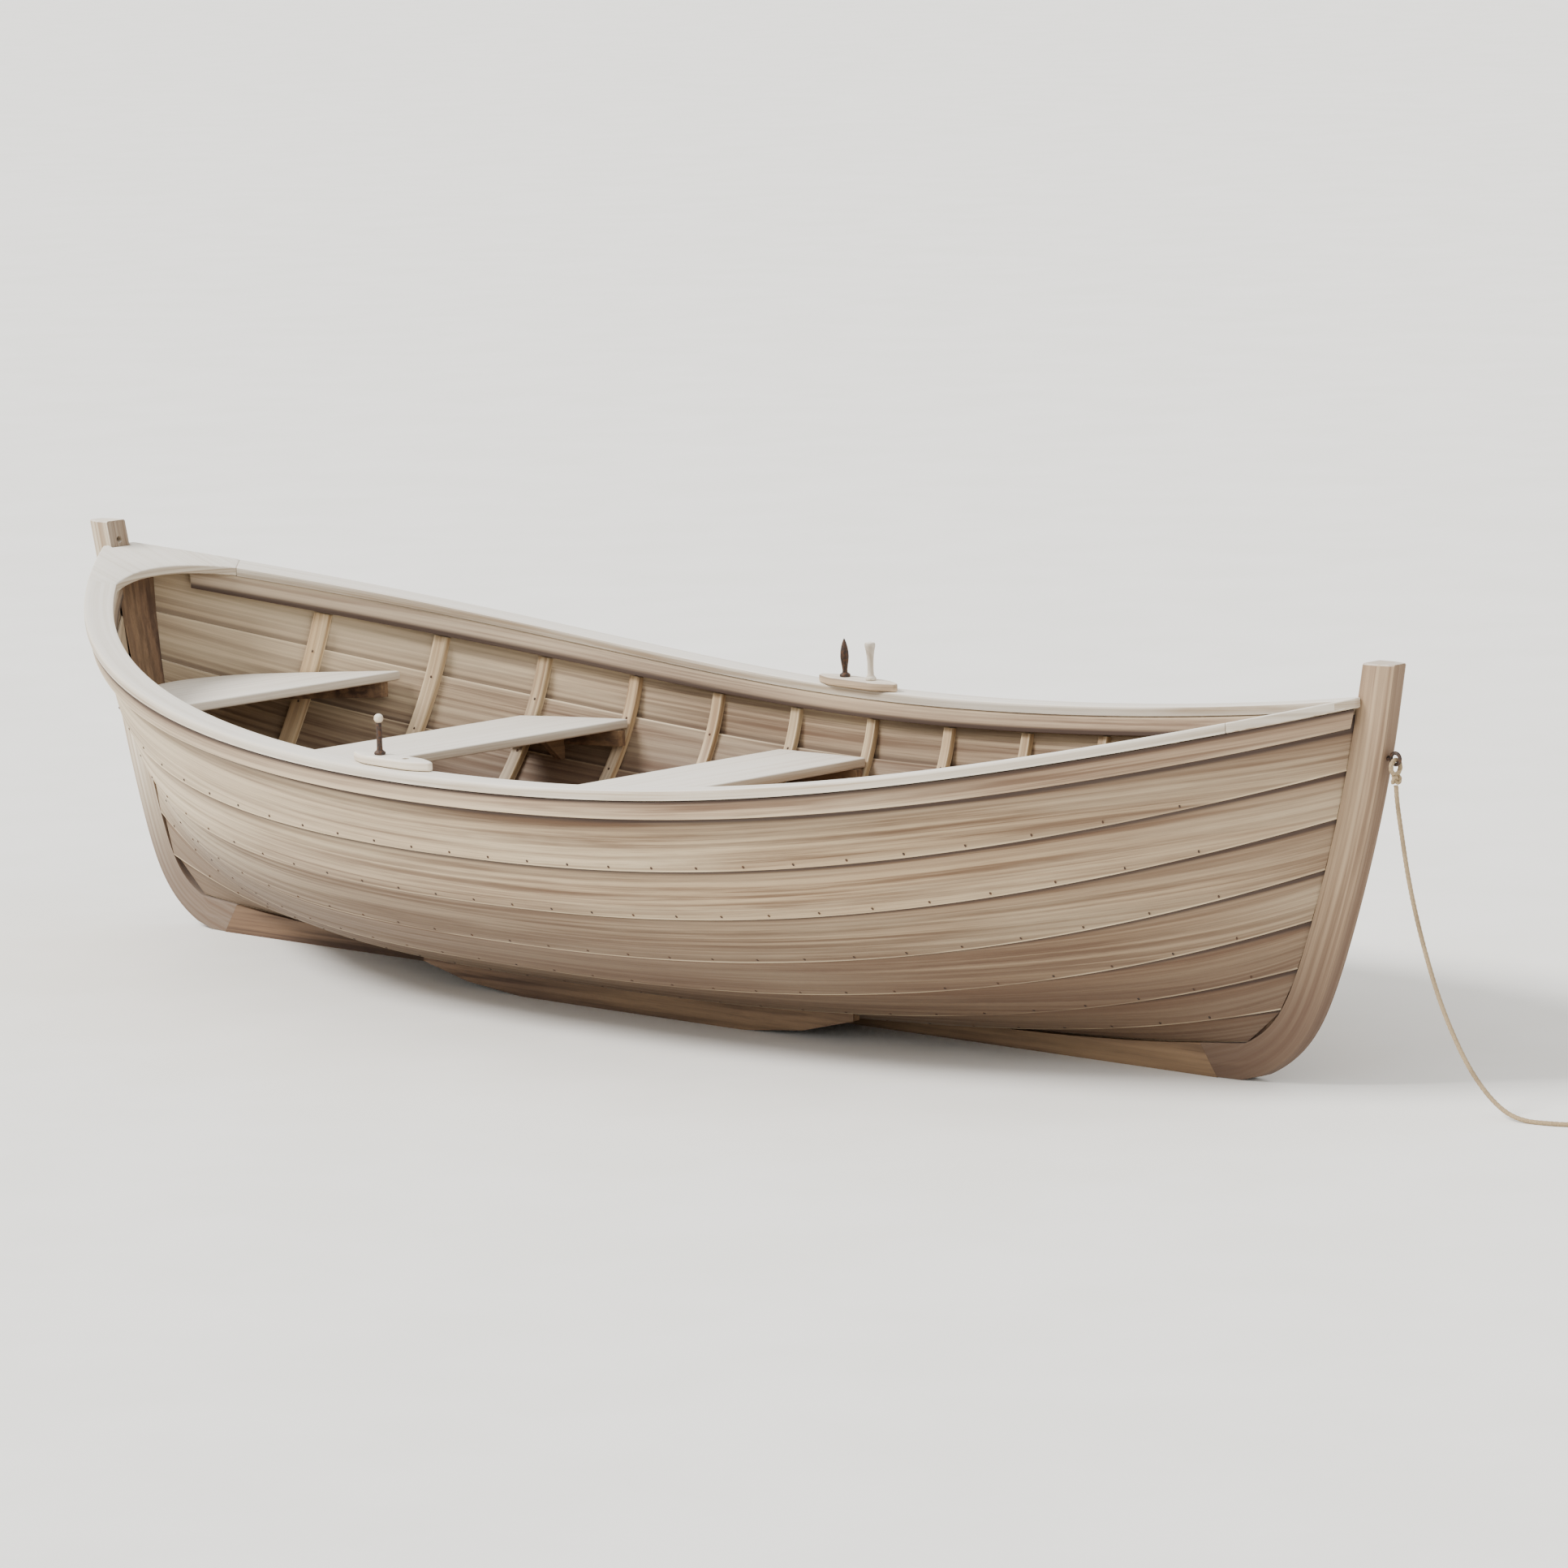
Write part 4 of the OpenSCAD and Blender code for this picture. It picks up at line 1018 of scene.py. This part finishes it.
def breasthook_mesh(name, end):
    """Plate that closes the rails at one end, level with the caps, with a hollow inner edge."""
    outer_t = np.linspace(CAP_END, RUB_END, 14) * end
    outer = rail_point(outer_t, PLANK, CAP_OUTER, 0)[:, :2]
    inner = rail_point(np.array([CAP_END * end]), 0, -CAP_INNER, 0)[0]
    half = inner[1]
    y = np.linspace(half, -half, 29)
    x_in = abs(inner[0]) + HOOK_GAP
    hollow = np.stack([end * (x_in + HOOK_DEPTH * (1 - (y / half) ** 2)), y], axis=1)
    cheek = KEEL_WIDTH / 2 + HOOK_GAP
    port = np.vstack([outer, [outer[-1][0], cheek], [end * HULL_LENGTH / 2, cheek]])
    outline = np.vstack([port, port[::-1] * (1, -1), hollow[::-1]])
    return slab_mesh(name, outline, lambda x, y: sheer_at(x) + CAP_GAP, CAP_THICK, 0)


def scarf_x(x, z):
    return x + SCARF_LEAN * (1 - z / KEEL_DEPTH)


def keel_shoulder(x):
    t = x / reach(side_of(x), 0)
    return float(skin(t, 0, PLANK + GAP)[..., 2]) - GAP


def stem_ring(back, way, depth, nose):
    wide, slim, shoulder = KEEL_WIDTH / 2, nose / 2, 0.55
    return [
        (back[0] + way[0] * depth * share, y, back[2] + way[2] * depth * share)
        for share, y in ((0, wide), (shoulder, wide), (1, slim),
                         (1, -slim), (shoulder, -wide), (0, -wide))
    ]


def stem_mesh(name, side, head):
    """Stem or stern post, from its scarf up the planking's ends to its head."""
    x_scarf = float(reach(side, 0)) - SCARF_BACK
    x_foot = float(reach(side, 0)) - FOOT_BACK
    z_scarf = keel_shoulder(side * x_scarf) - FOOT_GAP
    z_foot = keel_shoulder(side * x_foot) - FOOT_GAP
    heel = stem_ring((x_scarf, 0, z_scarf), (0, 0, -1), z_scarf, KEEL_WIDTH)
    rings = [[(scarf_x(x_scarf, p[2]) + GAP, p[1], p[2]) for p in heel]]
    nose = mix(KEEL_WIDTH, STEM_NOSE, 0.6)
    rings.append(stem_ring((x_foot, 0, z_foot), (0, 0, -1), z_foot, nose))
    for u in np.linspace(0, 1, 40) ** 1.5:
        here = np.array([reach(side, u), 0, mix(rabbet_z(side), sheer_z(side), u)])
        above = np.array([reach(side, u + 0.01), 0, mix(rabbet_z(side), sheer_z(side), u + 0.01)])
        along = (above - here) / np.linalg.norm(above - here)
        way = np.array([along[2], 0, -along[0]])
        depth = min(STEM_DEPTH, -here[2] / way[2] if way[2] < 0 else STEM_DEPTH)
        rings.append(stem_ring(here + 3 * GAP * way, way, depth, STEM_NOSE))
    x_back = HULL_LENGTH / 2 + HEAD_REACH - STEM_DEPTH
    z_top = float(sheer_z(side)) + head
    crown = 0.003
    rings.append(stem_ring((x_back, 0, z_top - crown), (1, 0, 0), STEM_DEPTH, STEM_NOSE))
    rings.append(np.array(rings[-1]) * (1, 0.88, 1) + (0, 0, crown))
    rings = np.asarray(rings, float) * (side, 1, 1)
    return rounded_loft(name, rings, (0.002, 0.003, 0.005, 0.005, 0.003, 0.002))


# ---------------- frames, boards and seats


# How far the corners of ribs and floor boards are rounded, the upper ones first
BOARD_ROUNDS = (0.003, 0.003, 0.001, 0.001)


def rib_x(n):
    return FIRST_RIB + (n - 1) * RIB_SPACING


def hog_half(x):
    return min(HOG_WIDTH / 2, float(skin_at(x, LANDS[1] + land_share(0.0), 0.0)[1]) * 0.62)


def hog_top(x):
    """Height of the hog's top, above the garboards that it lies between."""
    t = x / reach(side_of(x), 0)
    narrow = skin_at(x, 0.0, -HOG_GAP)
    wide = skin_at(x, float(strake_top(0, np.asarray(x / (HULL_LENGTH / 2)))), -HOG_GAP)
    edge = mix(narrow, wide, (hog_half(x) - narrow[1]) / (wide[1] - narrow[1]))
    return max(float(rabbet_z(t)) + HOG_THICK, float(edge[2]) + HOG_THICK / 3)


def rib_side(x, depth, steps=34):
    """Rib's face on the port side at x, from the middle up; depth is inward from the planking."""
    t = x / (HULL_LENGTH / 2)
    first = float(strake_top(0, np.asarray(t)))
    last = 1 - (INWALE_DEPTH + 0.010) / float(girth(np.asarray(t)))
    u = np.linspace(first, last, steps)
    side = skin_at(np.full(steps, x), u, np.full(steps, -depth))
    nearest = FIRST_RIB + RIB_SPACING * round((x - FIRST_RIB) / RIB_SPACING)
    if abs(nearest) < 1.5:
        centre = (x, hog_half(x), hog_top(x) + depth)
        side = np.vstack([[centre], side])
    return side


def rib_mesh(n):
    aft, fore = rib_x(n) - RIB_WIDTH / 2, rib_x(n) + RIB_WIDTH / 2
    inner, outer = GAP + RIB_THICK, GAP
    faces = np.stack([rib_side(aft, inner), rib_side(fore, inner),
                      rib_side(fore, outer), rib_side(aft, outer)], axis=1)
    rings = np.concatenate([faces[::-1], faces * (1, -1, 1)])
    return rounded_loft(f"rib_{n}_visual", rings, BOARD_ROUNDS)


def floor_z(x, y):
    side = rib_side(x, GAP + RIB_THICK)
    heights = np.concatenate([[side[0][2]], side[:, 2]])
    return float(np.interp(abs(y), np.concatenate([[0], side[:, 1]]), heights))


def wall_y(x, z):
    side = rib_side(x, GAP + RIB_THICK)
    return float(np.interp(z, side[:, 2], side[:, 1]))


def floor_board_mesh(row, side):
    left = -BOARD_WIDTH / 2 if row == 0 else row * (BOARD_WIDTH + BOARD_GAP) - BOARD_WIDTH / 2
    right = left + BOARD_WIDTH
    rings = []
    for x in np.linspace(-BOARD_REACH[row], BOARD_REACH[row], 41):
        rings.append([(x, y, floor_z(x, y) + GAP + h) for y, h in
                      ((left, BOARD_THICK), (right, BOARD_THICK), (right, 0), (left, 0))])
    return rounded_loft("floor_board", mirrored(np.array(rings), side), BOARD_ROUNDS)


def beside_ribs(x1, x2, z, steps=12):
    return np.array([(x, wall_y(x, z) - SEAT_GAP) for x in np.linspace(x1, x2, steps)])


def thwart_mesh(name, middle, height):
    bottom = height - SEAT_THICK
    edge = beside_ribs(middle - THWART_WIDTH / 2, middle + THWART_WIDTH / 2, bottom)
    outline = np.vstack([edge, edge[::-1] * (1, -1)])
    return slab_mesh(name, outline, lambda x, y: bottom, SEAT_THICK, 1, 0.005)


def stern_sheets_mesh():
    bottom = SHEETS_HEIGHT - SEAT_THICK
    edge = beside_ribs(SHEETS_FRONT, SHEETS_BACK, bottom)
    half = edge[-1][1]
    y = np.linspace(half, -half, 25)[1:-1]
    bulge = np.stack([SHEETS_BACK - SHEETS_BULGE * (1 - (y / half) ** 2), y], axis=1)
    outline = np.vstack([edge, bulge, edge[::-1] * (1, -1)])
    return slab_mesh("stern_sheets_board", outline, lambda x, y: bottom, SEAT_THICK, 1, 0.005)


# ---------------- tholes and fastenings

ROWING_X = (rib_x(6) + rib_x(7)) / 2
AFTER_X = (rib_x(3) + rib_x(4)) / 2
THOLE_X = ROWING_X + THOLE_LEAD
THOLE_XS = (THOLE_X - THOLE_GAP / 2, THOLE_X + THOLE_GAP / 2)
THOLE_Y = (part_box("starboard_after_thole")[1][1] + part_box("starboard_after_thole")[0][1]) / -2


def thole_centres(side):
    return [(x, THOLE_Y * HAND[side], SHEER_HEIGHT) for x in THOLE_XS]


def bored_for_tholes(mesh, side):
    return drilled(mesh, thole_centres(side), (0, 0, 1), HOLE_RADIUS)


def pad_mesh(side):
    """Long pointed pad on the cap, which the tholes stand in."""
    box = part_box(f"{side}_thole_pad")
    half, tip, wide = PAD_LENGTH / 2, 0.006, PAD_WIDTH / 2
    back, front = sheer_at(THOLE_X - half), sheer_at(THOLE_X + half)
    slope = float(front - back) / PAD_LENGTH
    arc = np.linspace(0, 1, 9)
    bow = tip + (wide - tip) * np.sin(arc * math.pi / 2)
    aft = np.stack([-half + PAD_POINT * 1.35 * arc, bow], axis=1)
    port = np.vstack([aft, aft[::-1] * (-1, 1)])
    outline = np.vstack([port, port[::-1] * (1, -1)])
    outline = outline + (THOLE_X, THOLE_Y * HAND[side])
    middle = (box[0][2] + box[1][2]) / 2
    low = lambda x, y: middle - PAD_THICK / 2 + (x - THOLE_X) * slope
    return bored_for_tholes(slab_mesh(f"{side}_pad", outline, low, PAD_THICK, 0), side)


def thole_place(node):
    low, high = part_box(node)
    return np.array([(low[0] + high[0]) / 2, (low[1] + high[1]) / 2, high[2] - PIN_HEIGHT])


SHANK = ((0.0004, -SHANK_LENGTH), (PIN_RADIUS - 0.002, -SHANK_LENGTH),
         (PIN_RADIUS, -SHANK_LENGTH + 0.004), (PIN_RADIUS, 0.0))
COLLAR = ((0.0125, 0.0002), (0.013, 0.0015), (0.013, 0.0045), (0.012, 0.006))


def make_tholes():
    """A dark leaf-shaped spindle, a pale flared pin and a thin pin with a round knob."""
    leaf = SHANK + COLLAR + (
        (0.0065, 0.010), (0.0060, 0.016), (0.0075, 0.026), (0.0095, 0.038), (0.0105, 0.048),
        (0.0098, 0.060), (0.0076, 0.072), (0.0048, 0.082), (0.0022, 0.089), (0.0003, PIN_HEIGHT))
    flare = SHANK + COLLAR + (
        (0.0080, 0.012), (0.0072, 0.024), (0.0074, 0.040), (0.0084, 0.056), (0.0104, 0.070),
        (0.0126, 0.080), (0.0130, 0.086), (0.0112, 0.0895), (0.0060, 0.091), (0.0003, PIN_HEIGHT))
    thin = SHANK + COLLAR + (
        (0.0070, 0.010), (0.0064, 0.018), (0.0062, 0.046), (0.0064, 0.071), (0.0003, 0.0715))
    knob = [(0.0003, 0.0705)] + [
        (max(0.0003, 0.0108 * math.cos(a)), 0.0813 + 0.0107 * math.sin(a))
        for a in np.linspace(-1.25, math.pi / 2, 14)]
    for node, profile, material, slot in (
        ("port_after_thole", leaf, black_iron, "iron"),
        ("port_forward_thole", flare, bleached, "pale_wood"),
        ("starboard_after_thole", thin, black_iron, "iron"),
    ):
        mesh = turned_mesh(f"{node}_pin", profile, thole_place(node))
        add_piece(f"{node}_pin", mesh, material, slot, node, body=node)
    mesh = turned_mesh("starboard_thole_knob", knob, thole_place("starboard_after_thole"))
    add_piece("starboard_thole_knob", mesh, bleached, "pale_wood", body="starboard_after_thole")


def dome_mesh(name, places, ways):
    """Domed nail heads on a surface, one at each place."""
    bm = bmesh.new()
    for place, way in zip(places, ways):
        size = Matrix.Diagonal((NAIL_RADIUS, NAIL_RADIUS, NAIL_HEIGHT, 1))
        matrix = Matrix.Translation(place) @ upright_to(way) @ size
        bmesh.ops.create_icosphere(bm, subdivisions=2, radius=1, matrix=matrix)
    mesh = mesh_of(bm, name)
    mesh.shade_smooth()
    return mesh


def nail_mesh(side):
    """Clench nails along each land, outside, and their roves on the ribs, inside."""
    places, ways = [], []
    for n in range(1, STRAKES):
        for x in NAIL_STATIONS:
            t = x / float(reach(float(side_of(x)), LANDS[n]))
            if abs(t) > LAST_NAIL:
                continue
            share = 0.5 * LAND_WIDTH / float(girth(t)) / (LANDS[n + 1] - LANDS[n])
            places.append(strake_face(n, t, share))
            ways.append(hull_out(t, LANDS[n]))
    for k in range(1, RIB_COUNT + 1):
        for n in range(1, STRAKES):
            x = rib_x(k)
            u = LANDS[n] + 0.5 * LAND_WIDTH / float(girth(x / 2))
            places.append(skin_at(x, u, -(GAP + RIB_THICK)))
            ways.append(-hull_out(x / float(reach(float(side_of(x)), u)), u))
    return dome_mesh(f"{side}_nails", mirrored(np.array(places), side),
                     mirrored(np.array(ways), side))


# ---------------- assembly


def make_hull():
    for side in ("port", "starboard"):
        for n in range(STRAKES):
            node = f"{side}_strake_{n + 1}"
            add_piece(f"{node}_plank", strake_mesh(side, n), planking, "planking", node)
        for kind, mesh, material, slot in (
            ("rubbing_strake", rubbing_strake_mesh(side), rail_wood, "warm_wood"),
            ("inwale", bored_for_tholes(inwale_mesh(side), side), rail_wood, "warm_wood"),
            ("cap", bored_for_tholes(cap_mesh(side), side), bleached, "pale_wood"),
        ):
            node = f"{side}_{kind}"
            add_piece(f"{node}_rail", mesh, material, slot, node)
        pad_wood = rail_wood if side == "port" else bleached
        add_piece(f"{side}_pad", pad_mesh(side), pad_wood, "pale_wood", f"{side}_thole_pad")
        add_piece(f"{side}_nails", nail_mesh(side), nail_metal, "iron")
    for name, end in (("bow_breasthook", 1), ("stern_breasthook", -1)):
        add_piece(f"{name}_plate", breasthook_mesh(name, end), bleached, "pale_wood", name)
    stem = stem_mesh("stem_timber", 1, BOW_HEAD)
    add_piece("stem_timber", stem, stem_wood, "warm_wood", "stem")
    post = stem_mesh("stern_post_timber", -1, STERN_HEAD)
    hole_z = float(sheer_z(-1.0)) + STERN_HEAD - HEAD_HOLE_DROP
    post = drilled(post, [(-HULL_LENGTH / 2 - 0.05, 0, hole_z)], (1, 0, 0), HEAD_HOLE_RADIUS)
    add_piece("stern_post_timber", post, post_wood, "pale_wood", "stern_post")


def make_inside():
    for n in range(1, RIB_COUNT + 1):
        add_piece(f"rib_{n}_bent", rib_mesh(n), rib_wood, "ribs", f"rib_{n}")
    boards = [floor_board_mesh(0, "port")]
    boards += [floor_board_mesh(row, side) for side in ("port", "starboard") for row in (1, 2)]
    for k, mesh in enumerate(boards):
        node = ("floor_boards",) if k == 0 else ()
        add_piece(f"floor_board_{k + 1}", mesh, board_wood, "dark_wood", *node)
    for node, x, height in (("rowing_thwart", ROWING_X, ROWING_HEIGHT),
                            ("after_thwart", AFTER_X, AFTER_HEIGHT)):
        mesh = thwart_mesh(f"{node}_board", x, height)
        add_piece(f"{node}_board", mesh, seat_wood, "pale_wood", node)
    add_piece("stern_sheets_board", stern_sheets_mesh(), seat_wood, "pale_wood", "stern_sheets")


def dress_kept_nodes():
    """Materials of the CAD nodes whose shapes stay."""
    for material, names in (
        (dark_along, ("keel", "hog", "bilge_keels", "seat_bearers")),
        (dark_across, ("thwart_knees",)),
        (dark_upright, ("bow_apron", "stern_apron")),
        (black_iron, ("eye_bolt",)),
    ):
        for name in names:
            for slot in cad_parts[name].material_slots:
                slot.material = material


def make_floor():
    bpy.ops.mesh.primitive_plane_add(size=300)
    floor = bpy.context.object
    floor.name = "studio_floor"
    floor.data.materials.append(floor_material())


make_camera()
light_scene()
make_floor()
make_painter()
make_hull()
make_inside()
make_tholes()
dress_kept_nodes()
